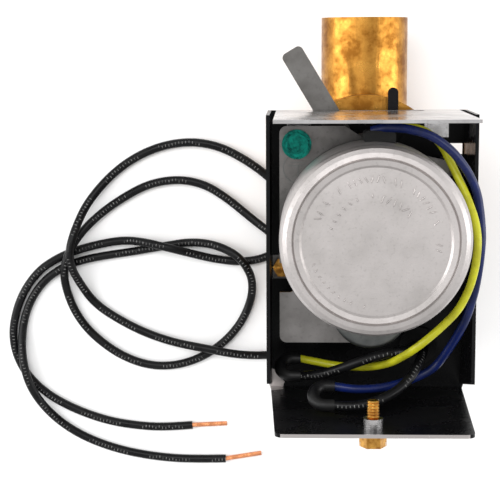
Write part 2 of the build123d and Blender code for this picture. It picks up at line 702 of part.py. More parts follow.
# A disc under the motor, with a lower, closed ear over the far side of the output gear.
with BuildPart() as gear_case:
    with BuildSketch(Plane.XY.offset(PLATE_TOP)):
        with Locations((0, EAR_Y)):
            Circle(EAR_R)
    extrude(amount=EAR_TOP - PLATE_TOP)
    fillet(gear_case.edges().group_by(Axis.Z)[-1], 1.1)
    with BuildSketch(Plane.XY.offset(PLATE_TOP)):
        with Locations(MOTOR):
            Circle(CASE_R)
    extrude(amount=CAN_Z0 - PLATE_TOP)
    with BuildSketch(Plane.XY.offset(CASE_FLOOR)):
        with Locations((0, EAR_Y)):
            Circle(EAR_R - CASE_WALL)
    extrude(amount=EAR_TOP - CASE_WALL - CASE_FLOOR, mode=Mode.SUBTRACT)
    with BuildSketch(Plane.XY.offset(CASE_FLOOR)):
        with Locations(MOTOR):
            Circle(CASE_R - CASE_WALL)
    extrude(amount=CAN_Z0 - CASE_FLOOR, mode=Mode.SUBTRACT)
    with BuildSketch(Plane.XY.offset(CASE_FLOOR)):
        with Locations(*CASE_SCREWS):
            Circle(2.6)
    extrude(amount=3)
    with BuildSketch(Plane.XY.offset(PLATE_TOP)):
        with Locations(*CASE_SCREWS):
            Circle(CASE_SCREW_R)
    extrude(amount=3, mode=Mode.SUBTRACT)
    with BuildSketch(Plane.XY.offset(PLATE_TOP)):
        with Locations(OUTPUT):
            Circle(1.5 + RUN_GAP)
    extrude(amount=3, mode=Mode.SUBTRACT)
    with BuildSketch(Plane.XY.offset(CASE_FLOOR - 0.8)):
        with Locations(FIRST, SECOND):
            Circle(SPINDLE_R)
    extrude(amount=1, mode=Mode.SUBTRACT)
finish(gear_case.part, "gear_case")

with BuildPart() as bearing_plate:
    with BuildSketch(Plane.XY.offset(BEARING_Z)):
        with Locations(MOTOR):
            Circle(CASE_R - CASE_WALL - RUN_GAP)
            Circle(2.6, mode=Mode.SUBTRACT)
        with Locations(OUTPUT):
            Circle(1.2 + RUN_GAP, mode=Mode.SUBTRACT)
        with Locations(FIRST, SECOND):
            Circle(SPINDLE_R, mode=Mode.SUBTRACT)
    extrude(amount=1.0)
finish(bearing_plate.part, "bearing_plate")

with BuildPart() as gear_spindles:
    with BuildSketch(Plane.XY.offset(CASE_FLOOR - 0.8)):
        with Locations(FIRST, SECOND):
            Circle(SPINDLE_R)
    extrude(amount=BEARING_Z + 1.0 - CASE_FLOOR + 0.8)
finish(gear_spindles.part, "gear_spindles")


def mesh_phase(driver, driven, teeth_driven, teeth_driver, driver_phase):
    """The phase at which a gear's gap faces the tooth of the gear that it meshes with."""
    angle = math.degrees(math.atan2(driven[1] - driver[1], driven[0] - driver[0]))
    offset = (angle - driver_phase) / (360 / teeth_driver)
    fraction = offset - math.floor(offset)
    return angle + 180 + (0.5 + fraction) * 360 / teeth_driven


PINION_PHASE = 90 + 180 / PINION_TEETH
OUTPUT_WHEEL_PHASE = 0.0
SECOND_SMALL_PHASE = mesh_phase(OUTPUT, SECOND, SMALL_TEETH, WHEEL_TEETH, OUTPUT_WHEEL_PHASE)
SECOND_WHEEL_PHASE = 0.0
FIRST_SMALL_PHASE = mesh_phase(SECOND, FIRST, SMALL_TEETH, WHEEL_TEETH, SECOND_WHEEL_PHASE)
FIRST_WHEEL_PHASE = 0.0
ROTOR_PHASE = mesh_phase(FIRST, MOTOR, SMALL_TEETH, WHEEL_TEETH, FIRST_WHEEL_PHASE)


def compound_gear(name, centre, wheel_z, small_z, small_top, wheel_phase, small_phase):
    """A wheel and a small gear in one piece, running on a fixed spindle."""
    with BuildPart() as gear:
        with BuildSketch(Plane.XY.offset(wheel_z)):
            wheel_sketch(WHEEL_TEETH, TRAIN_MODULE, centre, wheel_phase)
        extrude(amount=1.5)
        with BuildSketch(Plane.XY.offset(small_z)):
            wheel_sketch(SMALL_TEETH, TRAIN_MODULE, centre, small_phase)
        extrude(amount=small_top - small_z)
        with BuildSketch(Plane.XY.offset(small_z - 1)):
            with Locations(centre):
                Circle(SPINDLE_R + RUN_GAP)
        extrude(amount=10, mode=Mode.SUBTRACT)
    finish(gear.part, name)


compound_gear("first_gear", FIRST, LEVEL_A, LEVEL_B, LEVEL_A, FIRST_WHEEL_PHASE, FIRST_SMALL_PHASE)
compound_gear("second_gear", SECOND, LEVEL_B, LEVEL_C, LEVEL_B, SECOND_WHEEL_PHASE, SECOND_SMALL_PHASE)

with BuildPart() as output_gear:
    with BuildSketch(Plane.XY.offset(LEVEL_C)):
        wheel_sketch(WHEEL_TEETH, TRAIN_MODULE, OUTPUT, OUTPUT_WHEEL_PHASE)
    extrude(amount=1.5)
    with BuildSketch(Plane.XY.offset(SECTOR_Z - 1.5)):
        with Locations(OUTPUT):
            Circle(1.5)
    extrude(amount=LEVEL_C + 3 - SECTOR_Z + 1.5)
    with BuildSketch(Plane.XY.offset(LEVEL_C + 3)):
        with Locations(OUTPUT):
            Circle(1.2)
    extrude(amount=CAN_Z0 - 0.2 - LEVEL_C - 3)
finish(output_gear.part, "output_gear")

with BuildPart() as output_pinion:
    with BuildSketch(Plane.XY.offset(SECTOR_Z - 1.0)):
        wheel_sketch(PINION_TEETH, MODULE, OUTPUT, PINION_PHASE)
        with Locations(OUTPUT):
            Circle(1.5, mode=Mode.SUBTRACT)
    extrude(amount=SECTOR_T + 2.0)
finish(output_pinion.part, "output_pinion")

# ---- motor ------------------------------------------------------------------------------------
FACE_RING_R = 21.6
FACE_R = 19.3
with BuildPart() as motor_can:
    with BuildSketch(Plane(origin=(0, MOTOR_Y, 0), x_dir=(1, 0, 0), z_dir=(0, -1, 0))):
        with BuildLine():
            Polyline((0, CAN_TOP - 0.9), (FACE_R, CAN_TOP - 0.9), (FACE_R + 0.6, CAN_TOP - 0.35),
                     (FACE_RING_R - 0.35, CAN_TOP - 0.15), (FACE_RING_R, CAN_TOP - 0.55),
                     (FACE_RING_R + 0.35, CAN_TOP - 0.1), (CAN_R - 2.0, CAN_TOP - 0.25),
                     (CAN_R - 0.9, CAN_TOP - 0.9), (CAN_R - 0.3, CAN_TOP - 2.0), (CAN_R, CAN_TOP - 3.6),
                     (CAN_R, CAN_Z0), (CAN_R - CAN_WALL, CAN_Z0), (CAN_R - CAN_WALL, CAN_TOP - 3.6),
                     (CAN_R - 1.75, CAN_TOP - 2.4), (0, CAN_TOP - 2.4), close=True)
        make_face()
    revolve(axis=Axis((0, MOTOR_Y, 0), (0, 0, 1)))
finish(motor_can.part, "motor_can")

BOBBIN_Z0 = CAN_Z0 + 1.4
BOBBIN_Z1 = CAN_TOP - 3.0
with BuildPart() as coil_bobbin:
    with BuildSketch(Plane.XY.offset(BOBBIN_Z0)):
        with Locations(MOTOR):
            Circle(23.6)
            Circle(12.2, mode=Mode.SUBTRACT)
    extrude(amount=BOBBIN_Z1 - BOBBIN_Z0)
    with BuildSketch(Plane.XY.offset(BOBBIN_Z0 + 1)):
        with Locations(MOTOR):
            Circle(24)
            Circle(13.2, mode=Mode.SUBTRACT)
    extrude(amount=BOBBIN_Z1 - BOBBIN_Z0 - 2, mode=Mode.SUBTRACT)
finish(coil_bobbin.part, "coil_bobbin")

with BuildPart() as coil_winding:
    with BuildSketch(Plane.XY.offset(BOBBIN_Z0 + 1)):
        with Locations(MOTOR):
            Circle(22.8)
            Circle(13.2, mode=Mode.SUBTRACT)
    extrude(amount=BOBBIN_Z1 - BOBBIN_Z0 - 2)
finish(coil_winding.part, "coil_winding")

POLES = 12
with BuildPart() as pole_plate:
    with BuildSketch(Plane.XY.offset(CAN_Z0)):
        with Locations(MOTOR):
            Circle(CAN_R - CAN_WALL)
            Circle(11.0, mode=Mode.SUBTRACT)
    extrude(amount=1.2)
    with BuildSketch(Plane.XY.offset(CAN_Z0 + 1.2)):
        with Locations(MOTOR):
            with PolarLocations(11.5, POLES):
                Rectangle(0.8, 2.4)
    extrude(amount=14)
finish(pole_plate.part, "pole_plate")

with BuildPart() as rotor:
    with BuildSketch(Plane.XY.offset(CAN_Z0 + 1.6)):
        with Locations(MOTOR):
            Circle(10.4)
            Circle(1.2, mode=Mode.SUBTRACT)
    extrude(amount=14)
finish(rotor.part, "rotor")

with BuildPart() as rotor_shaft:
    with BuildSketch(Plane.XY.offset(LEVEL_A - 0.2)):
        wheel_sketch(SMALL_TEETH, TRAIN_MODULE, MOTOR, ROTOR_PHASE)
    extrude(amount=2.0)
    with BuildSketch(Plane.XY.offset(LEVEL_A + 1.6)):
        with Locations(MOTOR):
            Circle(1.2)
    extrude(amount=CAN_TOP - 3.4 - LEVEL_A - 1.6)
finish(rotor_shaft.part, "rotor_shaft")

BOOT_Y = MOTOR_Y + CAN_R
with BuildPart() as lead_boot:
    with BuildSketch(Plane.XY.offset(CAN_Z0 + 0.6)):
        with Locations((1.4, BOOT_Y + 1.0)):
            RectangleRounded(8.4, 3.6, 1.2)
    extrude(amount=9)
    with BuildSketch(Plane.XY.offset(CAN_Z0)):
        with Locations(MOTOR):
            Circle(CAN_R + 0.02)
    extrude(amount=14, mode=Mode.SUBTRACT)
finish(lead_boot.part, "lead_boot")

# ---- motor leads, splices and line leads ----------------------------------------------------------
LEAD_START_Y = BOOT_Y + 2.8
YELLOW = [(3.4, LEAD_START_Y, 82), (6.5, 17.3, 82.5), (12.5, 16.8, 80), (18, 13, 79), (22, 5, 80), (25, -1.5, 82),
          (27.2, -7.5, 83), (28, -13, 84), (27.5, -20, 84), (26, -26.5, 83), (23.2, -32.4, 82.5),
          (18.2, -37.7, 82), (11.8, -43.6, 80.5), (5.4, -49.6, 72.2), (-1.3, -52.1, 66), (-9, -52.8, 60.5),
          (-19.5, -51.5, 57)]
BLUE = [(-0.6, LEAD_START_Y, 85.5), (2.8, 17.3, 87), (8, 17.2, 88.5), (14.5, 15.5, 87), (20.5, 11.2, 85),
        (25, 5.5, 82.5), (28, -0.5, 80), (29.1, -7, 79.5), (29.5, -13, 80), (29, -20, 80), (28, -27.5, 79),
        (26, -36.5, 76), (22.5, -44.5, 72), (18, -51.8, 69), (11.3, -54.8, 70), (3.5, -56.2, 73.5),
        (-4, -56.4, 74.5), (-10, -55.6, 74)]
GX = GROMMET[0] - LEAD_SPACING / 2
HX = GROMMET[0] + LEAD_SPACING / 2
GY = GROMMET[1]
LOW = LEAD_R
LEAD_A = [(-19.5, -55, 64), (-14, -53.9, 67.3), (-8.5, -51.5, 70.4), (-2.8, -48.7, 72.9),
          (3.6, -46.4, 73.7), (9.6, -46.1, 70.6), (12.9, -47.5, 62.5), (GX, GY, 51), (GX, GY + 0.01, 38),
          (GX, GY - 1, 24), (GX - 0.4, GY - 2.5, 11), (10, -54.2, 3.4), (2, -56, LOW), (-8, -58.6, LOW),
          (-19, -61.2, LOW), (-30.5, -62.6, 2.6), (-41, -61.8, 4.7), (-50.5, -59.8, 4.6),
          (-61, -58.4, 2.2), (-71, -55.2, LOW), (-80, -50.5, LOW), (-87.5, -45.3, LOW),
          (-91.8, -38.5, 3.2), (-94.3, -32, 7.2), (-94.4, -26.5, 7.9), (-92.8, -20.5, 6.6),
          (-89.2, -12, 3.2), (-81.5, -3, LOW), (-73, 3.2, LOW), (-63.5, 7, LOW), (-54, 8, LOW),
          (-45.2, 6.2, LOW), (-37, 1.8, LOW), (-29.3, -3.8, LOW), (-24, -10.5, LOW), (-22.3, -18, LOW),
          (-24, -25, LOW), (-30, -30, LOW), (-38.5, -31.6, LOW), (-47.5, -30.6, LOW), (-55.5, -28.4, 3.0),
          (-63, -26.2, 4.9), (-70, -24.7, 3.6), (-77.5, -24.2, LOW), (-85.5, -25.6, LOW),
          (-92.5, -27.4, LOW), (-99, -30, LOW), (-106, -34.5, LOW), (-112, -43, LOW), (-115, -53.5, LOW),
          (-114.4, -61.5, LOW), (-111, -69, LOW), (-104.5, -75.8, LOW), (-95, -81.2, LOW),
          (-83.5, -85.3, LOW), (-72, -87, LOW), (-63, -87.2, LOW), (-55.5, -86.5, LOW)]
LEAD_B = [(-10.2, -59.6, 80), (-5.5, -59.8, 80.6), (-0.5, -58.9, 80), (4.2, -57.6, 78.6), (8.6, -55.2, 76.4),
          (12.3, -51.6, 73.5), (15, -48, 66.5), (16.4, -47.4, 58), (HX, GY, 50), (HX, GY + 0.01, 38),
          (HX, GY - 0.6, 24), (HX - 0.4, GY - 1, 11), (13, -51, 3.2), (4.5, -51.4, LOW), (-5, -50.4, LOW),
          (-13, -46.2, LOW), (-18.2, -39.2, LOW), (-21, -31.5, 2.8), (-23.2, -26.2, 4.8), (-28, -22.4, 4.8),
          (-35, -17.4, 2.4), (-43, -10.8, LOW), (-50.5, -6, LOW), (-59, -4.2, LOW), (-68.5, -5.6, LOW),
          (-77, -10, LOW), (-85, -15.5, LOW), (-91.2, -21.5, 3.2), (-95.4, -28, 4.5), (-97.2, -35, 4.3),
          (-96, -43.5, LOW), (-92.7, -50.5, LOW), (-87.5, -56.7, LOW), (-79, -63, LOW), (-69, -66.6, LOW),
          (-58.5, -66, LOW), (-48.5, -61.6, LOW), (-40.3, -54, LOW), (-36, -45.5, LOW), (-35, -38.5, 2.8),
          (-36.5, -33.2, 4.7), (-40.3, -28.6, 4.6), (-47.5, -25.6, 2.2), (-55.5, -24.8, LOW), (-64, -26.2, LOW),
          (-74, -28, LOW), (-84, -29.4, LOW), (-91.8, -31, LOW), (-98, -33.4, LOW), (-104, -37.6, LOW),
          (-108.8, -44.3, LOW), (-111.4, -52, LOW), (-111.8, -59.5, 3.0), (-110.8, -66.5, 4.7),
          (-108.9, -73, 4.5), (-105.2, -80, 2.2), (-99, -86.3, LOW), (-90.5, -91.4, LOW), (-79.5, -95.3, LOW),
          (-67.5, -97.5, LOW), (-56, -98.3, LOW), (-44.5, -98, LOW)]
wire(YELLOW, YELLOW_R, "yellow_lead")
wire(BLUE, BLUE_R, "blue_lead")
wire(LEAD_A, LEAD_R, "line_lead_a")
wire(LEAD_B, LEAD_R, "line_lead_b")


def splice(name, motor_end, line_end, reach):
    """A heat-shrink sleeve bent back on itself, over the joint of a motor lead and a line lead."""
    turn = [motor_end, (motor_end[0] - reach, motor_end[1], motor_end[2]),
            (line_end[0] - reach, line_end[1], line_end[2]), line_end]
    gap = (Vector(*motor_end) - Vector(*line_end)).length
    with BuildPart() as piece:
        with BuildLine():
            path = FilletPolyline(*turn, radius=0.48 * gap)
        with BuildSketch(Plane(origin=path @ 0, z_dir=path % 0)):
            Circle(SLEEVE_R)
        sweep(path=path)
    finish(piece.part, name)


splice("splice_sleeve_a", YELLOW[-1], LEAD_A[0], 5.8)
splice("splice_sleeve_b", BLUE[-1], LEAD_B[0], 5.8)


def bare_end(name, start, tip):
    """The stripped end of a line lead: its twisted strands as one rod."""
    direction = Vector(*tip) - Vector(*start)
    with BuildPart() as piece:
        with BuildSketch(Plane(origin=start, z_dir=direction.normalized())):
            Circle(COPPER_R)
        extrude(amount=direction.length)
    finish(piece.part, name)


bare_end("conductor_a", LEAD_A[-1], (-44, -85.9, LOW))
bare_end("conductor_b", LEAD_B[-1], (-32.6, -96, LOW))
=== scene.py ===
# %% [markdown]
# # A zone valve with its cover off
# The valve is a brass body that water runs through, under an open sheet-steel head that holds a small
# motor, its gears, a hand lever and the wiring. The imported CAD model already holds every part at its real
# size, so this lesson only loads it, and then gives each part its finish and its fine detail.

# %% Load the frame
import json
import math
import bpy
import bmesh
from mathutils import Matrix, Vector


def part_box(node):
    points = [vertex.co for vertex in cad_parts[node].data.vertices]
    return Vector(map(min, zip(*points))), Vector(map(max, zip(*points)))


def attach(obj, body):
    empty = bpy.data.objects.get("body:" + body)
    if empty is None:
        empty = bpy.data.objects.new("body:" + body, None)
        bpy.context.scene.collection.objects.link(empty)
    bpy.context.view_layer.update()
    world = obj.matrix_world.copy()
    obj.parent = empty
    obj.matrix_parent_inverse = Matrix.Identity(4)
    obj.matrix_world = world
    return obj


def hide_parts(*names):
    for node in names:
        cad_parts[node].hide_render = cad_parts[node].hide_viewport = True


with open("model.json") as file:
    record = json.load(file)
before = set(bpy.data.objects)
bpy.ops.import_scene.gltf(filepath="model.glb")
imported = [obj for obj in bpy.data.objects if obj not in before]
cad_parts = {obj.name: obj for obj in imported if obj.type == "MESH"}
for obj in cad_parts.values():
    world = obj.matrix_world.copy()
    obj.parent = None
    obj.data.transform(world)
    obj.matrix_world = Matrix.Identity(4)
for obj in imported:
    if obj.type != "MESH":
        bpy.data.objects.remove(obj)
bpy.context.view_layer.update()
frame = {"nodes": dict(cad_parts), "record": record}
NODES = frame["nodes"]

# %% [markdown]
# ## The camera
# The valve lies on a table and is seen from almost straight above, through a long lens. A long lens far
# away keeps the sides of the head nearly parallel. The camera is tipped a few degrees, so that the front
# of the head and the end of the brass pipe both show a little.

# %% Camera
CAMERA_PLACE = (-0.01974, 0.03941, 0.4673)
CAMERA_TIP = math.radians(8.18)
CAMERA_TURN = math.radians(1.98)
LENS = 103.6

camera_data = bpy.data.cameras.new("camera")
camera_data.lens = LENS
camera_data.sensor_width = 36
camera_data.clip_start = 0.01
camera = bpy.data.objects.new("camera", camera_data)
bpy.context.scene.collection.objects.link(camera)
turned = Matrix.Rotation(-CAMERA_TIP, 4, "X") @ Matrix.Rotation(CAMERA_TURN, 4, "Y")
camera.matrix_world = Matrix.Translation(CAMERA_PLACE) @ turned
bpy.context.scene.camera = camera
print("camera height", CAMERA_PLACE[2])

# %% [markdown]
# ## Floor and light
# A product is usually lit in a white tent: the light comes from everywhere, and two long soft boxes at the
# sides draw the bright edges on round metal. The world is the tent, and area lights are the soft boxes.

# %% Floor, world and lamps
def plain_material(name, colour, roughness):
    """A one-tone material for things that aren't part of the valve."""
    material = bpy.data.materials.new(name)
    material.use_nodes = True
    shader = material.node_tree.nodes["Principled BSDF"]
    shader.inputs["Base Color"].default_value = (*colour, 1)
    shader.inputs["Roughness"].default_value = roughness
    return material


floor_mesh = bpy.data.meshes.new("floor")
FLOOR_HALF = 3.0
floor_mesh.from_pydata(
    [(-FLOOR_HALF, -FLOOR_HALF, 0), (FLOOR_HALF, -FLOOR_HALF, 0), (FLOOR_HALF, FLOOR_HALF, 0),
     (-FLOOR_HALF, FLOOR_HALF, 0)], [], [(0, 1, 2, 3)])
floor = bpy.data.objects.new("floor", floor_mesh)
bpy.context.scene.collection.objects.link(floor)
floor_mesh.materials.append(plain_material("white_table", (0.93, 0.93, 0.93), 0.9))

world = bpy.data.worlds.new("tent")
bpy.context.scene.world = world
world.use_nodes = True
world.node_tree.nodes["Background"].inputs["Color"].default_value = (1, 1, 1, 1)
world.node_tree.nodes["Background"].inputs["Strength"].default_value = 0.92
bpy.context.scene.view_settings.view_transform = "Standard"


def soft_box(name, place, aim, size, power):
    """One rectangular lamp that points at a spot on the valve."""
    data = bpy.data.lights.new(name, "AREA")
    data.shape = "RECTANGLE"
    data.size, data.size_y = size
    data.energy = power
    lamp = bpy.data.objects.new(name, data)
    bpy.context.scene.collection.objects.link(lamp)
    direction = Vector(aim) - Vector(place)
    lamp.matrix_world = Matrix.Translation(place) @ direction.to_track_quat("-Z", "Y").to_matrix().to_4x4()
    return lamp


soft_box("left_box", (-0.55, 0.05, 0.35), (0, 0, 0.03), (0.25, 0.7), 2.5)
soft_box("right_box", (0.6, 0.0, 0.30), (0, 0, 0.03), (0.2, 0.7), 2.0)
soft_box("top_box", (-0.12, 0.3, 0.75), (0, 0, 0.05), (0.4, 0.3), 2.0)

# %% [markdown]
# ## The line leads
# Two stranded black leads leave the head through a rubber grommet, drop to the table and lie there in loose
# loops, one over the other. A lead is one length of something springy, so each is one smooth NURBS curve
# through a few chosen points, with a round bevel for its thickness. Where one lead crosses another the
# points rise in a low hump.

# %% Lead routes
LEAD_RADIUS = 0.00135
LEAD_A = [
    (-0.0195, -0.055, 0.064), (-0.014, -0.0539, 0.0673), (-0.0085, -0.0515, 0.0704),
    (-0.0028, -0.0487, 0.0729), (0.0036, -0.0464, 0.0737), (0.0096, -0.0461, 0.0706),
    (0.0129, -0.0475, 0.0625), (0.01395, -0.0496, 0.051), (0.01395, -0.04959, 0.038),
    (0.01395, -0.0506, 0.024), (0.01355, -0.0521, 0.011), (0.01, -0.0542, 0.0034),
    (0.002, -0.056, 0.00135), (-0.008, -0.0586, 0.00135), (-0.019, -0.0612, 0.00135),
    (-0.0305, -0.0626, 0.0026), (-0.041, -0.0618, 0.0047), (-0.0505, -0.0598, 0.0046),
    (-0.061, -0.0584, 0.0022), (-0.071, -0.0552, 0.00135), (-0.08, -0.0505, 0.00135),
    (-0.0875, -0.0453, 0.00135), (-0.0918, -0.0385, 0.0032), (-0.0943, -0.032, 0.0072),
    (-0.0944, -0.0265, 0.0079), (-0.0928, -0.0205, 0.0066), (-0.0892, -0.012, 0.0032),
    (-0.0815, -0.003, 0.00135), (-0.073, 0.0032, 0.00135), (-0.0635, 0.007, 0.00135),
    (-0.054, 0.008, 0.00135), (-0.0452, 0.0062, 0.00135), (-0.037, 0.0018, 0.00135),
    (-0.0293, -0.0038, 0.00135), (-0.024, -0.0105, 0.00135), (-0.0223, -0.018, 0.00135),
    (-0.024, -0.025, 0.00135), (-0.03, -0.03, 0.00135), (-0.0385, -0.0316, 0.00135),
    (-0.0475, -0.0306, 0.00135), (-0.0555, -0.0284, 0.003), (-0.063, -0.0262, 0.0049),
    (-0.07, -0.0247, 0.0036), (-0.0775, -0.0242, 0.00135), (-0.0855, -0.0256, 0.00135),
    (-0.0925, -0.0274, 0.00135), (-0.099, -0.03, 0.00135), (-0.106, -0.0345, 0.00135),
    (-0.112, -0.043, 0.00135), (-0.115, -0.0535, 0.00135), (-0.1144, -0.0615, 0.00135),
    (-0.111, -0.069, 0.00135), (-0.1045, -0.0758, 0.00135), (-0.095, -0.0812, 0.00135),
    (-0.0835, -0.0853, 0.00135), (-0.072, -0.087, 0.00135), (-0.063, -0.0872, 0.00135),
    (-0.0555, -0.0865, 0.00135),
]
LEAD_B = [
    (-0.0102, -0.0596, 0.08), (-0.0055, -0.0598, 0.0806), (-0.0005, -0.0589, 0.08),
    (0.0042, -0.0576, 0.0786), (0.0086, -0.0552, 0.0764), (0.0123, -0.0516, 0.0735),
    (0.015, -0.048, 0.0665), (0.0164, -0.0474, 0.058), (0.01685, -0.0496, 0.05),
    (0.01685, -0.04959, 0.038), (0.01685, -0.0502, 0.024), (0.01645, -0.0506, 0.011),
    (0.013, -0.051, 0.0032), (0.0045, -0.0514, 0.00135), (-0.005, -0.0504, 0.00135),
    (-0.013, -0.0462, 0.00135), (-0.0182, -0.0392, 0.00135), (-0.021, -0.0315, 0.0028),
    (-0.0232, -0.0262, 0.0048), (-0.028, -0.0224, 0.0048), (-0.035, -0.0174, 0.0024),
    (-0.043, -0.0108, 0.00135), (-0.0505, -0.006, 0.00135), (-0.059, -0.0042, 0.00135),
    (-0.0685, -0.0056, 0.00135), (-0.077, -0.01, 0.00135), (-0.085, -0.0155, 0.00135),
    (-0.0912, -0.0215, 0.0032), (-0.0954, -0.028, 0.0045), (-0.0972, -0.035, 0.0043),
    (-0.096, -0.0435, 0.00135), (-0.0927, -0.0505, 0.00135), (-0.0875, -0.0567, 0.00135),
    (-0.079, -0.063, 0.00135), (-0.069, -0.0666, 0.00135), (-0.0585, -0.066, 0.00135),
    (-0.0485, -0.0616, 0.00135), (-0.0403, -0.054, 0.00135), (-0.036, -0.0455, 0.00135),
    (-0.035, -0.0385, 0.0028), (-0.0365, -0.0332, 0.0047), (-0.0403, -0.0286, 0.0046),
    (-0.0475, -0.0256, 0.0022), (-0.0555, -0.0248, 0.00135), (-0.064, -0.0262, 0.00135),
    (-0.074, -0.028, 0.00135), (-0.084, -0.0294, 0.00135), (-0.0918, -0.031, 0.00135),
    (-0.098, -0.0334, 0.00135), (-0.104, -0.0376, 0.00135), (-0.1088, -0.0443, 0.00135),
    (-0.1114, -0.052, 0.00135), (-0.1118, -0.0595, 0.003), (-0.1108, -0.0665, 0.0047),
    (-0.1089, -0.073, 0.0045), (-0.1052, -0.08, 0.0022), (-0.099, -0.0863, 0.00135),
    (-0.0905, -0.0914, 0.00135), (-0.0795, -0.0953, 0.00135), (-0.0675, -0.0975, 0.00135),
    (-0.056, -0.0983, 0.00135), (-0.0445, -0.098, 0.00135),
]


def soft_curve(name, points, radius):
    """An open NURBS curve with a round section, whose control points are the route.

    The bevel is 1 deep and each point scales it down to the radius, which keeps the curve's bounds tight.
    """
    data = bpy.data.curves.new(name, "CURVE")
    data.dimensions = "3D"
    data.bevel_depth = 1
    data.bevel_resolution = 5
    data.resolution_u = 10
    data.use_fill_caps = True
    spline = data.splines.new("NURBS")
    spline.points.add(len(points) - 1)
    for point, place in zip(spline.points, points):
        point.co = (*place, 1)
        point.radius = radius
    spline.order_u = 3
    spline.use_endpoint_u = True
    piece = bpy.data.objects.new(name, data)
    bpy.context.scene.collection.objects.link(piece)
    return piece


def curve_line(piece):
    """The middle line of a curve as a list of places, read from the curve itself."""
    copy = piece.copy()
    copy.data = piece.data.copy()
    copy.data.bevel_depth = 0
    line = bpy.data.meshes.new_from_object(copy)
    places = [v.co.copy() for v in line.vertices]
    bpy.data.meshes.remove(line)
    bpy.data.objects.remove(copy)
    return places


def line_length(places):
    """The length of a line through a list of places."""
    return sum((b - a).length for a, b in zip(places, places[1:]))


lead_pieces = {}
for letter, route in (("a", LEAD_A), ("b", LEAD_B)):
    lead = soft_curve(f"black_lead_{letter}", route, LEAD_RADIUS)
    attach(lead, "head")
    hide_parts(f"line_lead_{letter}")
    lead_pieces[letter] = lead
    print(lead.name, "length", round(line_length(curve_line(lead)), 4))

# %% [markdown]
# ## The bare ends
# Each lead is stripped for about twelve millimetres. The copper is a bundle of fine strands with a lazy
# twist, so it is made by a Geometry Nodes tree: a straight line is copied round a ring, each copy is swept
# into a thin wire, and the whole bundle is twisted about its own axis by turning every point by its height.

# %% Strand bundle
STRANDS = 12
STRAND_RADIUS = 0.00022
BUNDLE_RADIUS = 0.00052
BUNDLE_TURNS = 0.9


def new_tree(name, inputs):
    """A Geometry Nodes tree with named size inputs, and its in and out nodes."""
    tree = bpy.data.node_groups.new(name, "GeometryNodeTree")
    tree.interface.new_socket("Geometry", in_out="OUTPUT", socket_type="NodeSocketGeometry")
    for label, kind, value in inputs:
        socket = tree.interface.new_socket(label, in_out="INPUT", socket_type=kind)
        if value is not None:
            socket.default_value = value
    return tree, tree.nodes.new("NodeGroupInput"), tree.nodes.new("NodeGroupOutput")


def wire_up(tree, *pairs):
    """Join sockets in a tree: each pair is (from, to)."""
    for source, target in pairs:
        tree.links.new(source, target)


def set_down(tree, gin, gout, copies):
    """A tree's last step: its copies become real geometry with the tree's material."""
    real = tree.nodes.new("GeometryNodeRealizeInstances")
    dress = tree.nodes.new("GeometryNodeSetMaterial")
    wire_up(tree,
            (copies.outputs["Instances"], real.inputs["Geometry"]),
            (real.outputs["Geometry"], dress.inputs["Geometry"]),
            (gin.outputs["Material"], dress.inputs["Material"]),
            (dress.outputs["Geometry"], gout.inputs["Geometry"]))


def tree_mesh(name, tree, values, material):
    """Run a tree on an empty mesh and keep what it makes as a plain mesh object at the origin."""
    carrier = bpy.data.objects.new(name + "_carrier", bpy.data.meshes.new(name))
    bpy.context.scene.collection.objects.link(carrier)
    modifier = carrier.modifiers.new("maker", "NODES")
    modifier.node_group = tree
    for item in tree.interface.items_tree:
        if item.in_out == "INPUT" and item.name in values:
            modifier[item.identifier] = values[item.name]
    bpy.context.view_layer.update()
    ready = carrier.evaluated_get(bpy.context.evaluated_depsgraph_get())
    mesh = bpy.data.meshes.new_from_object(ready)
    bpy.data.objects.remove(carrier)
    mesh.name = name
    mesh.materials.clear()
    mesh.materials.append(material)
    piece = bpy.data.objects.new(name, mesh)
    bpy.context.scene.collection.objects.link(piece)
    return piece


# %% [markdown]
# ## Shared finishes
# Metal and plastic are never one flat colour. Two small shader groups are shared by all of them: one gives
# blotches and specks, and one gives a bumpy normal, either a round grain or the fine parallel lines that
# rolling leaves in sheet metal. Each puts out only colours, masks and normals.

# %% Shader groups
def shader_group(name, inputs, outputs):
    """An empty shader node group with named sockets."""
    group = bpy.data.node_groups.new(name, "ShaderNodeTree")
    for label, kind, value in inputs:
        socket = group.interface.new_socket(label, in_out="INPUT", socket_type=kind)
        socket.default_value = value
    for label, kind in outputs:
        group.interface.new_socket(label, in_out="OUTPUT", socket_type=kind)
    return group, group.nodes.new("NodeGroupInput"), group.nodes.new("NodeGroupOutput")


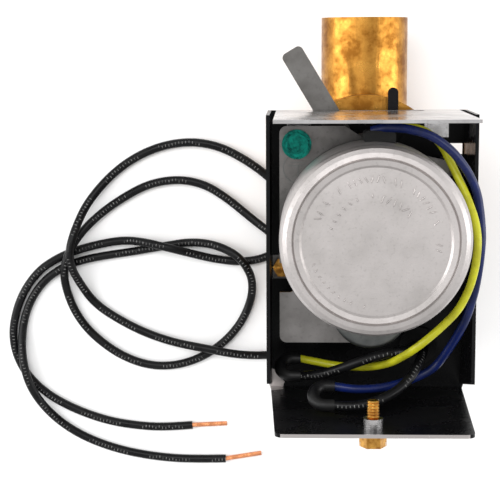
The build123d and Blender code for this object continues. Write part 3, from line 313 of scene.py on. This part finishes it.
def blotch_group():
    """Large soft patches and small dark specks, as a colour and a mask."""
    group, gin, gout = shader_group(
        "blotches",
        [("Clean", "NodeSocketColor", (0.5, 0.5, 0.5, 1)),
        ("Stained", "NodeSocketColor", (0.3, 0.3, 0.3, 1)),
         ("Patch Scale", "NodeSocketFloat", 120.0), ("Speck Scale", "NodeSocketFloat", 900.0),
         ("Speck Amount", "NodeSocketFloat", 0.3)],
        [("Color", "NodeSocketColor"), ("Mask", "NodeSocketFloat")])
    nodes = group.nodes
    place = nodes.new("ShaderNodeTexCoord")
    patches = nodes.new("ShaderNodeTexNoise")
    patches.inputs["Detail"].default_value = 5
    patches.inputs["Roughness"].default_value = 0.6
    specks = nodes.new("ShaderNodeTexNoise")
    specks.inputs["Detail"].default_value = 3
    spread = nodes.new("ShaderNodeMapRange")
    spread.inputs["From Min"].default_value = 0.38
    spread.inputs["From Max"].default_value = 0.64
    fine = nodes.new("ShaderNodeMapRange")
    fine.inputs["From Min"].default_value = 0.56
    fine.inputs["From Max"].default_value = 0.72
    scaled = nodes.new("ShaderNodeMath")
    scaled.operation = "MULTIPLY"
    total = nodes.new("ShaderNodeMath")
    total.operation = "ADD"
    total.use_clamp = True
    mix = nodes.new("ShaderNodeMix")
    mix.data_type = "RGBA"
    wire_up(group,
            (place.outputs["Object"], patches.inputs["Vector"]),
            (gin.outputs["Patch Scale"], patches.inputs["Scale"]),
            (place.outputs["Object"], specks.inputs["Vector"]),
            (gin.outputs["Speck Scale"], specks.inputs["Scale"]),
            (patches.outputs["Fac"], spread.inputs["Value"]),
            (specks.outputs["Fac"], fine.inputs["Value"]),
            (fine.outputs["Result"], scaled.inputs[0]), (gin.outputs["Speck Amount"], scaled.inputs[1]),
            (spread.outputs["Result"], total.inputs[0]), (scaled.outputs[0], total.inputs[1]),
            (total.outputs[0], mix.inputs["Factor"]), (gin.outputs["Clean"], mix.inputs["A"]),
            (gin.outputs["Stained"], mix.inputs["B"]), (mix.outputs["Result"], gout.inputs["Color"]),
            (total.outputs[0], gout.inputs["Mask"]))
    return group


def grain_group():
    """A bumpy normal: round grain when Stretch is 1 each way, parallel lines when it isn't."""
    group, gin, gout = shader_group(
        "grain",
        [("Stretch", "NodeSocketVector", (1, 1, 1)), ("Scale", "NodeSocketFloat", 1500.0),
         ("Strength", "NodeSocketFloat", 0.2), ("Depth", "NodeSocketFloat", 0.0001)],
        [("Normal", "NodeSocketVector")])
    nodes = group.nodes
    place = nodes.new("ShaderNodeTexCoord")
    stretched = nodes.new("ShaderNodeVectorMath")
    stretched.operation = "MULTIPLY"
    noise = nodes.new("ShaderNodeTexNoise")
    noise.inputs["Detail"].default_value = 4
    bump = nodes.new("ShaderNodeBump")
    wire_up(group,
            (place.outputs["Object"], stretched.inputs[0]), (gin.outputs["Stretch"], stretched.inputs[1]),
            (stretched.outputs[0], noise.inputs["Vector"]), (gin.outputs["Scale"], noise.inputs["Scale"]),
            (noise.outputs["Fac"], bump.inputs["Height"]),
            (gin.outputs["Strength"], bump.inputs["Strength"]),
            (gin.outputs["Depth"], bump.inputs["Distance"]),
            (bump.outputs["Normal"], gout.inputs["Normal"]))
    return group


BLOTCHES = blotch_group()
GRAIN = grain_group()
print("shader groups", BLOTCHES.name, GRAIN.name)

# %% [markdown]
# ## Materials
# One function builds every finish from the same two groups, so a finish is a short list of choices: its
# clean and stained colours, how rough it is where clean and where stained, how metallic, and which way its
# grain runs. Values that are the same all over are set on the shader itself.

# %% Finish maker
def finish_material(name, clean, stained, rough, rough_stained, metal=0.0, patch=120.0, speck=900.0,
                    speck_amount=0.3, stretch=(1, 1, 1), grain=1500.0, strength=0.15, gloss=0.5):
    """A Principled material with blotches in its colour and roughness and a fine grain in its normal."""
    material = bpy.data.materials.new(name)
    material.use_nodes = True
    tree = material.node_tree
    shader = tree.nodes["Principled BSDF"]
    shader.inputs["Metallic"].default_value = metal
    shader.inputs["Specular IOR Level"].default_value = gloss
    blotches = tree.nodes.new("ShaderNodeGroup")
    blotches.node_tree = BLOTCHES
    blotches.inputs["Clean"].default_value = (*clean, 1)
    blotches.inputs["Stained"].default_value = (*stained, 1)
    blotches.inputs["Patch Scale"].default_value = patch
    blotches.inputs["Speck Scale"].default_value = speck
    blotches.inputs["Speck Amount"].default_value = speck_amount
    lines = tree.nodes.new("ShaderNodeGroup")
    lines.node_tree = GRAIN
    lines.inputs["Stretch"].default_value = stretch
    lines.inputs["Scale"].default_value = grain
    lines.inputs["Strength"].default_value = strength
    wear = tree.nodes.new("ShaderNodeMapRange")
    wear.inputs["To Min"].default_value = rough
    wear.inputs["To Max"].default_value = rough_stained
    wire_up(tree, (blotches.outputs["Color"], shader.inputs["Base Color"]),
            (blotches.outputs["Mask"], wear.inputs["Value"]),
            (wear.outputs["Result"], shader.inputs["Roughness"]),
            (lines.outputs["Normal"], shader.inputs["Normal"]))
    return material


CAST_BRASS = finish_material("cast_brass", (0.50, 0.24, 0.045), (0.22, 0.085, 0.012), 0.26, 0.42, metal=1.0,
                             patch=160, speck=700, stretch=(1, 0.08, 1), grain=1400, strength=0.5)
TURNED_BRASS = finish_material("turned_brass", (0.62, 0.33, 0.07), (0.30, 0.13, 0.025), 0.22, 0.38, metal=1.0,
                               patch=400)
BLACK_ENAMEL = finish_material("black_enamel", (0.0035, 0.0035, 0.004), (0.006, 0.006, 0.0065), 0.22, 0.34,
                               patch=60, grain=600, strength=0.05, gloss=0.12)
BRIGHT_SHEET = finish_material("bright_sheet", (0.60, 0.59, 0.59), (0.36, 0.35, 0.35), 0.14, 0.30, metal=1.0,
                               patch=60, stretch=(0.08, 1, 1), grain=2200, strength=0.25)
DULL_SHEET = finish_material("dull_sheet", (0.21, 0.20, 0.195), (0.12, 0.115, 0.11), 0.30, 0.44, metal=1.0,
                             patch=50, stretch=(1, 0.1, 1), grain=1800, strength=0.2)
LEVER_STEEL = finish_material("lever_steel", (0.13, 0.125, 0.12), (0.09, 0.085, 0.08), 0.42, 0.55, metal=0.9,
                              patch=90, grain=1500, strength=0.12)
CAN_ALUMINIUM = finish_material("can_aluminium", (0.50, 0.47, 0.46), (0.36, 0.34, 0.33), 0.42, 0.55,
                                metal=1.0, patch=45, speck=1200, speck_amount=0.4, grain=2600, strength=0.25)
CAST_ZINC = finish_material("cast_zinc", (0.13, 0.135, 0.13), (0.075, 0.08, 0.08), 0.42, 0.55, metal=0.95,
                            patch=80, grain=1200, strength=0.3)
GREEN_PLATE = finish_material("green_plate", (0.002, 0.20, 0.15), (0.001, 0.06, 0.05), 0.16, 0.30, metal=0.85,
                              patch=500)
TURNED_STEEL = finish_material("turned_steel", (0.55, 0.55, 0.54), (0.40, 0.40, 0.39), 0.22, 0.35, metal=1.0)
BLACK_RUBBER = finish_material("black_rubber", (0.006, 0.006, 0.006), (0.012, 0.012, 0.012), 0.55, 0.7,
                               strength=0.2, gloss=0.2)
BLACK_VINYL = finish_material("black_vinyl", (0.0035, 0.0035, 0.004), (0.007, 0.007, 0.0075), 0.26, 0.36,
                              patch=200, grain=500, strength=0.05, gloss=0.14)
YELLOW_VINYL = finish_material("yellow_vinyl", (0.50, 0.50, 0.016), (0.36, 0.35, 0.012), 0.26, 0.36,
                               patch=200, grain=500, strength=0.05, gloss=0.3)
BLUE_VINYL = finish_material("blue_vinyl", (0.005, 0.012, 0.085), (0.003, 0.008, 0.05), 0.24, 0.34,
                             patch=200, grain=500, strength=0.05, gloss=0.25)
SHRINK_TUBE = finish_material("shrink_tube", (0.0035, 0.0035, 0.004), (0.008, 0.008, 0.008), 0.38, 0.5,
                              strength=0.1, gloss=0.22)
PALE_NYLON = finish_material("pale_nylon", (0.62, 0.60, 0.50), (0.52, 0.50, 0.40), 0.42, 0.5, patch=90)
BARE_COPPER = finish_material("bare_copper", (0.80, 0.34, 0.16), (0.52, 0.20, 0.09), 0.24, 0.4, metal=1.0,
                              patch=500)
ENAMEL_WIRE = finish_material("enamel_wire", (0.40, 0.10, 0.03), (0.25, 0.06, 0.02), 0.25, 0.4, metal=0.8,
                              stretch=(0.05, 0.05, 1), grain=3000, strength=0.6)
FERRITE = finish_material("ferrite", (0.035, 0.035, 0.036), (0.05, 0.05, 0.05), 0.5, 0.62, metal=0.2)
WHITE_PRINT = finish_material("white_print", (0.17, 0.17, 0.165), (0.03, 0.03, 0.03), 0.5, 0.6, patch=900)


# %% [markdown]
# ## Bare edges on the painted frame
# Paint is thin at a sheared edge, so the cover flange shows a line of bare steel along its rim, and at one
# corner of the base a flake has come off. Both are masks on the object's own coordinates: a step in height
# for the rim, and a small patch with a ragged outline for the flake. They change colour and metal only.

# %% Worn paint
RIM_HEIGHT = 0.0998
FLAKE_PLACE = (-0.0272, -0.0612, 0.047)
FLAKE_SIZE = (0.0026, 0.0042, 0.006)
FLAKE_RAGGED = 1.6
FLAKE_REACH = 1.75


def wear_group():
    """A mask that is 1 on the bare rim and the flake and 0 on sound paint."""
    group, gin, gout = shader_group(
        "worn_paint", [("Rim Height", "NodeSocketFloat", RIM_HEIGHT)], [("Mask", "NodeSocketFloat")])
    nodes = group.nodes
    place = nodes.new("ShaderNodeTexCoord")
    parts = nodes.new("ShaderNodeSeparateXYZ")
    rim = nodes.new("ShaderNodeMath")
    rim.operation = "GREATER_THAN"
    centred = nodes.new("ShaderNodeMapping")
    centred.vector_type = "TEXTURE"
    centred.inputs["Location"].default_value = FLAKE_PLACE
    centred.inputs["Scale"].default_value = FLAKE_SIZE
    reach = nodes.new("ShaderNodeVectorMath")
    reach.operation = "LENGTH"
    ragged = nodes.new("ShaderNodeTexNoise")
    ragged.inputs["Scale"].default_value = 420
    ragged.inputs["Detail"].default_value = 4
    rough_reach = nodes.new("ShaderNodeMath")
    rough_reach.operation = "MULTIPLY_ADD"
    rough_reach.inputs[1].default_value = FLAKE_RAGGED
    inside = nodes.new("ShaderNodeMath")
    inside.operation = "LESS_THAN"
    inside.inputs[1].default_value = FLAKE_REACH
    either = nodes.new("ShaderNodeMath")
    either.operation = "MAXIMUM"
    wire_up(group,
            (place.outputs["Object"], parts.inputs["Vector"]), (parts.outputs["Z"], rim.inputs[0]),
            (gin.outputs["Rim Height"], rim.inputs[1]),
            (place.outputs["Object"], centred.inputs["Vector"]),
            (centred.outputs["Vector"], reach.inputs[0]),
            (place.outputs["Object"], ragged.inputs["Vector"]),
            (ragged.outputs["Fac"], rough_reach.inputs[0]),
            (reach.outputs["Value"], rough_reach.inputs[2]),
            (rough_reach.outputs[0], inside.inputs[0]), (rim.outputs[0], either.inputs[0]),
            (inside.outputs[0], either.inputs[1]), (either.outputs[0], gout.inputs["Mask"]))
    return group


def wear_to_bare_steel(material):
    """Put bare steel under the paint wherever the wear mask says so."""
    tree = material.node_tree
    shader = tree.nodes["Principled BSDF"]
    paint = shader.inputs["Base Color"].links[0].from_socket
    wear = tree.nodes.new("ShaderNodeGroup")
    wear.node_tree = wear_group()
    bare = tree.nodes.new("ShaderNodeMix")
    bare.data_type = "RGBA"
    bare.inputs["B"].default_value = (0.46, 0.43, 0.42, 1)
    wire_up(tree, (paint, bare.inputs["A"]), (wear.outputs["Mask"], bare.inputs["Factor"]),
            (bare.outputs["Result"], shader.inputs["Base Color"]),
            (wear.outputs["Mask"], shader.inputs["Metallic"]))


wear_to_bare_steel(BLACK_ENAMEL)
print("materials", len(bpy.data.materials))

# %% [markdown]
# ## Finishing the CAD parts
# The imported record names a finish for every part. This table turns each of those names into one of the
# materials above, so a part that is added later gets its finish with no change here.

# %% Hand out the finishes
FINISH_OF_SLOT = {
    "brass_cast": CAST_BRASS, "brass_screw": TURNED_BRASS, "black_paint": BLACK_ENAMEL,
    "bright_steel": BRIGHT_SHEET, "dull_steel": DULL_SHEET, "can_aluminium": CAN_ALUMINIUM,
    "zinc_case": CAST_ZINC, "green_screw": GREEN_PLATE, "rubber": BLACK_RUBBER, "stainless": TURNED_STEEL,
    "black_wire": BLACK_VINYL, "yellow_wire": YELLOW_VINYL, "blue_wire": BLUE_VINYL,
    "shrink_sleeve": SHRINK_TUBE, "nylon": PALE_NYLON, "copper": BARE_COPPER,
    "enamel_copper": ENAMEL_WIRE, "ferrite": FERRITE,
}
for entry in frame["record"]["subparts"]:
    material = FINISH_OF_SLOT[entry["material_slot"]]
    if entry["node"] == "manual_lever":
        material = LEVER_STEEL
    for slot in NODES[entry["node"]].material_slots:
        slot.material = material
for lead in lead_pieces.values():
    lead.data.materials.append(BLACK_VINYL)

# %% [markdown]
# ## Raised marks on the motor
# The motor's face carries a ring of small raised marks, pressed from behind. Here they are plain bars and
# dots that say nothing. Points are set round an arc by a Geometry Nodes tree, each one turned to face the
# middle, and a low rounded bar is put on each.

# %% Face marks
CAN_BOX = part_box("motor_can")
FACE_DEPTH = 0.0008
FACE_Z = CAN_BOX[1][2] - FACE_DEPTH
MOTOR_PLACE = ((CAN_BOX[0][0] + CAN_BOX[1][0]) / 2, (CAN_BOX[0][1] + CAN_BOX[1][1]) / 2, FACE_Z)
MARK_HEIGHT = 0.0003
MARKS_KEPT = 0.86


def arc_marks_tree():
    """Bars on an arc about the origin, one to a point, some left out by a fixed random choice."""
    tree, gin, gout = new_tree("arc_marks", [
        ("Radius", "NodeSocketFloat", 0.0165), ("Start", "NodeSocketFloat", 0.0),
        ("Sweep", "NodeSocketFloat", 1.0),
        ("Count", "NodeSocketInt", 12), ("Bar", "NodeSocketVector", (0.0005, 0.002, MARK_HEIGHT)),
        ("Seed", "NodeSocketInt", 3), ("Lean", "NodeSocketFloat", 0.5),
        ("Material", "NodeSocketMaterial", None)])
    nodes = tree.nodes
    arc = nodes.new("GeometryNodeCurveArc")
    stops = nodes.new("GeometryNodeCurveToPoints")
    stops.mode = "COUNT"
    here = nodes.new("GeometryNodeInputPosition")
    facing = nodes.new("FunctionNodeAlignEulerToVector")
    facing.axis = "Y"
    facing.pivot_axis = "Z"
    ball = nodes.new("GeometryNodeMeshUVSphere")
    ball.inputs["Segments"].default_value = 12
    ball.inputs["Rings"].default_value = 8
    ball.inputs["Radius"].default_value = 0.5
    bar = nodes.new("GeometryNodeTransform")
    keep = nodes.new("FunctionNodeRandomValue")
    keep.data_type = "BOOLEAN"
    keep.inputs["Probability"].default_value = MARKS_KEPT
    lean = nodes.new("FunctionNodeRandomValue")
    lean.data_type = "FLOAT"
    negative = nodes.new("ShaderNodeMath")
    negative.operation = "MULTIPLY"
    negative.inputs[1].default_value = -1
    tilt = nodes.new("ShaderNodeCombineXYZ")
    turned_bar = nodes.new("FunctionNodeRotateEuler")
    turned_bar.rotation_type = "EULER"
    turned_bar.space = "LOCAL"
    copies = nodes.new("GeometryNodeInstanceOnPoints")
    wire_up(tree,
            (gin.outputs["Radius"], arc.inputs["Radius"]),
            (gin.outputs["Start"], arc.inputs["Start Angle"]),
            (gin.outputs["Sweep"], arc.inputs["Sweep Angle"]),
            (arc.outputs["Curve"], stops.inputs["Curve"]),
            (gin.outputs["Count"], stops.inputs["Count"]),
            (here.outputs["Position"], facing.inputs["Vector"]),
            (ball.outputs["Mesh"], bar.inputs["Geometry"]),
            (gin.outputs["Bar"], bar.inputs["Scale"]), (stops.outputs["Points"], copies.inputs["Points"]),
            (gin.outputs["Seed"], keep.inputs["Seed"]), (keep.outputs[3], copies.inputs["Selection"]),
            (gin.outputs["Lean"], lean.inputs[3]), (gin.outputs["Lean"], negative.inputs[0]),
            (negative.outputs[0], lean.inputs[2]), (gin.outputs["Seed"], lean.inputs["Seed"]),
            (lean.outputs[1], tilt.inputs["Z"]),
            (facing.outputs["Rotation"], turned_bar.inputs["Rotation"]),
            (tilt.outputs["Vector"], turned_bar.inputs["Rotate By"]),
            (turned_bar.outputs["Rotation"], copies.inputs["Rotation"]),
            (bar.outputs["Geometry"], copies.inputs["Instance"]))
    set_down(tree, gin, gout, copies)
    return tree


ARC_MARKS = arc_marks_tree()
MARK_RINGS = [  # radius, start and sweep in degrees, count, bar width and length, seed, lean
    (0.0163, 62, 96, 19, 0.00042, 0.0022, 3, 0.55),
    (0.0163, -8, 62, 13, 0.00042, 0.0020, 8, 0.55),
    (0.0120, 95, 78, 9, 0.00042, 0.0012, 5, 0.9),
    (0.0112, 40, 42, 6, 0.00040, 0.0024, 12, 0.7),
    (0.0172, 200, 60, 11, 0.00036, 0.0010, 21, 0.9),
]
for number, (radius, start, sweep, count, wide, long, seed, lean) in enumerate(MARK_RINGS, 1):
    marks = tree_mesh(f"face_marks_{number}", ARC_MARKS, {
        "Radius": radius, "Start": math.radians(start), "Sweep": math.radians(sweep), "Count": count,
        "Bar": (wide, long, 2 * MARK_HEIGHT), "Seed": seed, "Lean": lean}, CAN_ALUMINIUM)
    marks.data.transform(Matrix.Translation(MOTOR_PLACE))
    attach(marks, "head")
print("face marks", len(MARK_RINGS), "arcs")

# %% [markdown]
# ## The stamped earth sign
# Beside the green screw the plate is stamped with the usual sign for an earth connection: a ring round a
# stem and three bars. The lines are thin raised ridges, made as flat boxes and a ring with bmesh.

# %% Earth sign
PLATE_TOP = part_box("motor_plate")[1][2]
SIGN_PLACE = (-0.0202, 0.0049, PLATE_TOP)
RIDGE = 0.00022
SIGN_RADIUS = 0.0041
SIGN_BARS = ((0.0028, 0.0006), (0.0020, 0.0015), (0.0011, 0.0024))  # half length, place along Y
SIGN_STEM = (-0.0022, 0.0006)


def ridge(form, low, high):
    """A low box from one corner to the other, added to a bmesh."""
    centre = [(a + b) / 2 for a, b in zip(low, high)]
    size = [b - a for a, b in zip(low, high)]
    place = Matrix.Translation(centre) @ Matrix.Diagonal((*size, 1))
    bmesh.ops.create_cube(form, size=1, matrix=place)


def ring_ridge(form, radius, width, height, steps=64):
    """A flat ring with a square section, standing on z = 0."""
    loops = []
    for r, z in ((radius - width / 2, 0), (radius - width / 2, height), (radius + width / 2, height),
                 (radius + width / 2, 0)):
        angles = [2 * math.pi * i / steps for i in range(steps)]
        loops.append([form.verts.new((r * math.cos(a), r * math.sin(a), z)) for a in angles])
    for a, b in zip(loops, loops[1:] + loops[:1]):
        for i in range(steps):
            j = (i + 1) % steps
            form.faces.new((a[i], a[j], b[j], b[i]))


sign_form = bmesh.new()
ring_ridge(sign_form, SIGN_RADIUS, RIDGE, MARK_HEIGHT)
for half, y in SIGN_BARS:
    ridge(sign_form, (-half, y, 0), (half, y + RIDGE, MARK_HEIGHT))
ridge(sign_form, (-RIDGE / 2, SIGN_STEM[0], 0), (RIDGE / 2, SIGN_STEM[1], MARK_HEIGHT))
bmesh.ops.recalc_face_normals(sign_form, faces=sign_form.faces)
sign_mesh = bpy.data.meshes.new("earth_sign")
sign_form.to_mesh(sign_mesh)
sign_form.free()
sign_mesh.transform(Matrix.Translation(SIGN_PLACE))
sign_mesh.materials.append(CAST_ZINC)
sign = bpy.data.objects.new("earth_sign", sign_mesh)
bpy.context.scene.collection.objects.link(sign)
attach(sign, "head")
print("earth sign", len(sign_mesh.polygons), "faces")

# %% [markdown]
# ## Print on the leads
# Pale print runs along real leads. Here it is only short strokes in groups, with no letters. The tree
# walks along the lead's own curve, keeps some of the stops in groups, and bends a thin pale stroke round
# the top of the insulation at each.

# %% Lead print
PRINT_STEP = 0.0011
STROKE_WIDTH = 0.00024
STROKE_START = math.radians(254)
STROKE_SWEEP = math.radians(32)
STROKE_SWING = 0.25
STOPS_IN_GROUP = 19
STROKES_IN_GROUP = 13
PRINT_SEEDS = {"a": 4, "b": 11}
PRINT_LIFT = 0.00002


def print_tree():
    """Short strokes bent round a lead, in groups along it."""
    tree, gin, gout = new_tree("lead_print", [
        ("Geometry", "NodeSocketGeometry", None), ("Step", "NodeSocketFloat", PRINT_STEP),
        ("Lead Radius", "NodeSocketFloat", LEAD_RADIUS),
        ("Stroke", "NodeSocketFloat", STROKE_WIDTH), ("Group", "NodeSocketInt", STOPS_IN_GROUP),
        ("Kept", "NodeSocketInt", STROKES_IN_GROUP),
        ("Seed", "NodeSocketInt", 4), ("Material", "NodeSocketMaterial", None)])
    nodes = tree.nodes
    upright = nodes.new("GeometryNodeSetCurveNormal")
    upright.mode = "Z_UP"
    stops = nodes.new("GeometryNodeCurveToPoints")
    stops.mode = "LENGTH"
    order = nodes.new("GeometryNodeInputIndex")
    within = nodes.new("ShaderNodeMath")
    within.operation = "MODULO"
    chosen = nodes.new("ShaderNodeMath")
    chosen.operation = "LESS_THAN"
    lifted = nodes.new("ShaderNodeMath")
    lifted.operation = "ADD"
    lifted.inputs[1].default_value = PRINT_LIFT
    stroke = nodes.new("GeometryNodeCurveArc")
    stroke.inputs["Resolution"].default_value = 6
    stroke.inputs["Start Angle"].default_value = STROKE_START
    stroke.inputs["Sweep Angle"].default_value = STROKE_SWEEP
    section = nodes.new("GeometryNodeCurvePrimitiveQuadrilateral")
    section.inputs["Width"].default_value = 2 * PRINT_LIFT
    sweep = nodes.new("GeometryNodeCurveToMesh")
    sweep.inputs["Fill Caps"].default_value = True
    swing = nodes.new("FunctionNodeRandomValue")
    swing.data_type = "FLOAT_VECTOR"
    swing.inputs[0].default_value = (0, 0, -STROKE_SWING)
    swing.inputs[1].default_value = (0, 0, STROKE_SWING)
    turned_stroke = nodes.new("FunctionNodeRotateEuler")
    turned_stroke.space = "LOCAL"
    copies = nodes.new("GeometryNodeInstanceOnPoints")
    wire_up(tree,
            (gin.outputs["Geometry"], upright.inputs["Curve"]),
            (upright.outputs["Curve"], stops.inputs["Curve"]),
            (gin.outputs["Step"], stops.inputs["Length"]), (order.outputs[0], within.inputs[0]),
            (gin.outputs["Group"], within.inputs[1]), (within.outputs[0], chosen.inputs[0]),
            (gin.outputs["Kept"], chosen.inputs[1]), (chosen.outputs[0], copies.inputs["Selection"]),
            (gin.outputs["Lead Radius"], lifted.inputs[0]), (lifted.outputs[0], stroke.inputs["Radius"]),
            (gin.outputs["Stroke"], section.inputs["Height"]),
            (stroke.outputs["Curve"], sweep.inputs["Curve"]),
            (section.outputs["Curve"], sweep.inputs["Profile Curve"]),
            (gin.outputs["Seed"], swing.inputs["Seed"]),
            (stops.outputs["Rotation"], turned_stroke.inputs["Rotation"]),
            (swing.outputs[0], turned_stroke.inputs["Rotate By"]),
            (stops.outputs["Points"], copies.inputs["Points"]),
            (turned_stroke.outputs["Rotation"], copies.inputs["Rotation"]),
            (sweep.outputs["Mesh"], copies.inputs["Instance"]))
    set_down(tree, gin, gout, copies)
    return tree


def print_on_lead(name, lead, seed):
    """Run the print tree on an unbevelled copy of a lead and keep the strokes as a mesh."""
    line = lead.copy()
    line.data = lead.data.copy()
    line.data.bevel_depth = 0
    bpy.context.scene.collection.objects.link(line)
    modifier = line.modifiers.new("maker", "NODES")
    modifier.node_group = PRINT_TREE
    for item in PRINT_TREE.interface.items_tree:
        if item.in_out == "INPUT" and item.name == "Seed":
            modifier[item.identifier] = seed
    bpy.context.view_layer.update()
    ready = line.evaluated_get(bpy.context.evaluated_depsgraph_get())
    mesh = bpy.data.meshes.new_from_object(ready)
    bpy.data.objects.remove(line)
    mesh.materials.clear()
    mesh.materials.append(WHITE_PRINT)
    piece = bpy.data.objects.new(name, mesh)
    bpy.context.scene.collection.objects.link(piece)
    return piece


PRINT_TREE = print_tree()
prints = {}
for letter, lead in lead_pieces.items():
    prints[letter] = print_on_lead(f"lead_print_{letter}", lead, PRINT_SEEDS[letter])
    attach(prints[letter], "head")
    print(prints[letter].name, len(prints[letter].data.polygons), "faces")

# %% [markdown]
# The strand bundle now gets built, one for each lead. The tree makes one strand as a curve line along Z,
# copies it round a ring, twists the copies and gives them a round section. A matrix then lays each bundle
# along the end of its lead.

# %% Strands
def strand_tree():
    """A twisted bundle of thin wires along Z, from a ring of straight lines."""
    tree, gin, gout = new_tree("strand_bundle", [
        ("Length", "NodeSocketFloat", 0.012), ("Strands", "NodeSocketInt", STRANDS),
        ("Strand Radius", "NodeSocketFloat", STRAND_RADIUS),
        ("Bundle Radius", "NodeSocketFloat", BUNDLE_RADIUS),
        ("Turns", "NodeSocketFloat", BUNDLE_TURNS), ("Material", "NodeSocketMaterial", None)])
    nodes = tree.nodes
    ring = nodes.new("GeometryNodeCurvePrimitiveCircle")
    ring_points = nodes.new("GeometryNodeCurveToPoints")
    ring_points.mode = "COUNT"
    top = nodes.new("ShaderNodeCombineXYZ")
    strand = nodes.new("GeometryNodeCurvePrimitiveLine")
    steps = nodes.new("GeometryNodeResampleCurve")
    steps.inputs["Count"].default_value = 24
    copies = nodes.new("GeometryNodeInstanceOnPoints")
    real = nodes.new("GeometryNodeRealizeInstances")
    here = nodes.new("GeometryNodeInputPosition")
    parts = nodes.new("ShaderNodeSeparateXYZ")
    share = nodes.new("ShaderNodeMath")
    share.operation = "DIVIDE"
    angle = nodes.new("ShaderNodeMath")
    angle.operation = "MULTIPLY"
    full = nodes.new("ShaderNodeMath")
    full.operation = "MULTIPLY"
    full.inputs[1].default_value = 2 * math.pi
    twist = nodes.new("ShaderNodeVectorRotate")
    twist.rotation_type = "Z_AXIS"
    move = nodes.new("GeometryNodeSetPosition")
    section = nodes.new("GeometryNodeCurvePrimitiveCircle")
    section.inputs["Resolution"].default_value = 10
    sweep = nodes.new("GeometryNodeCurveToMesh")
    sweep.inputs["Fill Caps"].default_value = True
    dress = nodes.new("GeometryNodeSetMaterial")
    last = nodes.new("GeometryNodeRealizeInstances")
    wire_up(tree,
            (gin.outputs["Bundle Radius"], ring.inputs["Radius"]),
            (ring.outputs["Curve"], ring_points.inputs["Curve"]),
            (gin.outputs["Strands"], ring_points.inputs["Count"]),
            (gin.outputs["Length"], top.inputs["Z"]),
            (top.outputs["Vector"], strand.inputs["End"]),
            (strand.outputs["Curve"], steps.inputs["Curve"]),
            (ring_points.outputs["Points"], copies.inputs["Points"]),
            (steps.outputs["Curve"], copies.inputs["Instance"]),
            (copies.outputs["Instances"], real.inputs["Geometry"]),
            (here.outputs["Position"], parts.inputs["Vector"]),
            (parts.outputs["Z"], share.inputs[0]), (gin.outputs["Length"], share.inputs[1]),
            (share.outputs[0], angle.inputs[0]), (gin.outputs["Turns"], angle.inputs[1]),
            (angle.outputs[0], full.inputs[0]), (here.outputs["Position"], twist.inputs["Vector"]),
            (full.outputs[0], twist.inputs["Angle"]), (real.outputs["Geometry"], move.inputs["Geometry"]),
            (twist.outputs["Vector"], move.inputs["Position"]),
            (move.outputs["Geometry"], sweep.inputs["Curve"]),
            (gin.outputs["Strand Radius"], section.inputs["Radius"]),
            (section.outputs["Curve"], sweep.inputs["Profile Curve"]),
            (sweep.outputs["Mesh"], last.inputs["Geometry"]),
            (last.outputs["Geometry"], dress.inputs["Geometry"]),
            (gin.outputs["Material"], dress.inputs["Material"]),
            (dress.outputs["Geometry"], gout.inputs["Geometry"]))
    return tree


STRAND_TREE = strand_tree()
TIPS = {"a": (-0.044, -0.0859, LEAD_RADIUS), "b": (-0.0326, -0.096, LEAD_RADIUS)}
ENDS = {"a": LEAD_A[-1], "b": LEAD_B[-1]}
for letter, tip in TIPS.items():
    along = Vector(tip) - Vector(ENDS[letter])
    bundle = tree_mesh(f"copper_strands_{letter}", STRAND_TREE, {"Length": along.length}, BARE_COPPER)
    laid = along.to_track_quat("Z", "Y").to_matrix().to_4x4()
    bundle.data.transform(Matrix.Translation(ENDS[letter]) @ laid)
    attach(bundle, "head")
    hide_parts(f"conductor_{letter}")
    print(bundle.name, "triangles", len(bundle.data.loop_triangles) or len(bundle.data.polygons))

# %% [markdown]
# ## Measuring the leads
# Now that the pieces on them exist, the length of each lead is measured along its curve.

for letter, route in (("a", LEAD_A), ("b", LEAD_B)):
    lead = lead_pieces[letter]
    measured = line_length(curve_line(lead))

# %% Last update of the view layer
bpy.context.view_layer.update()
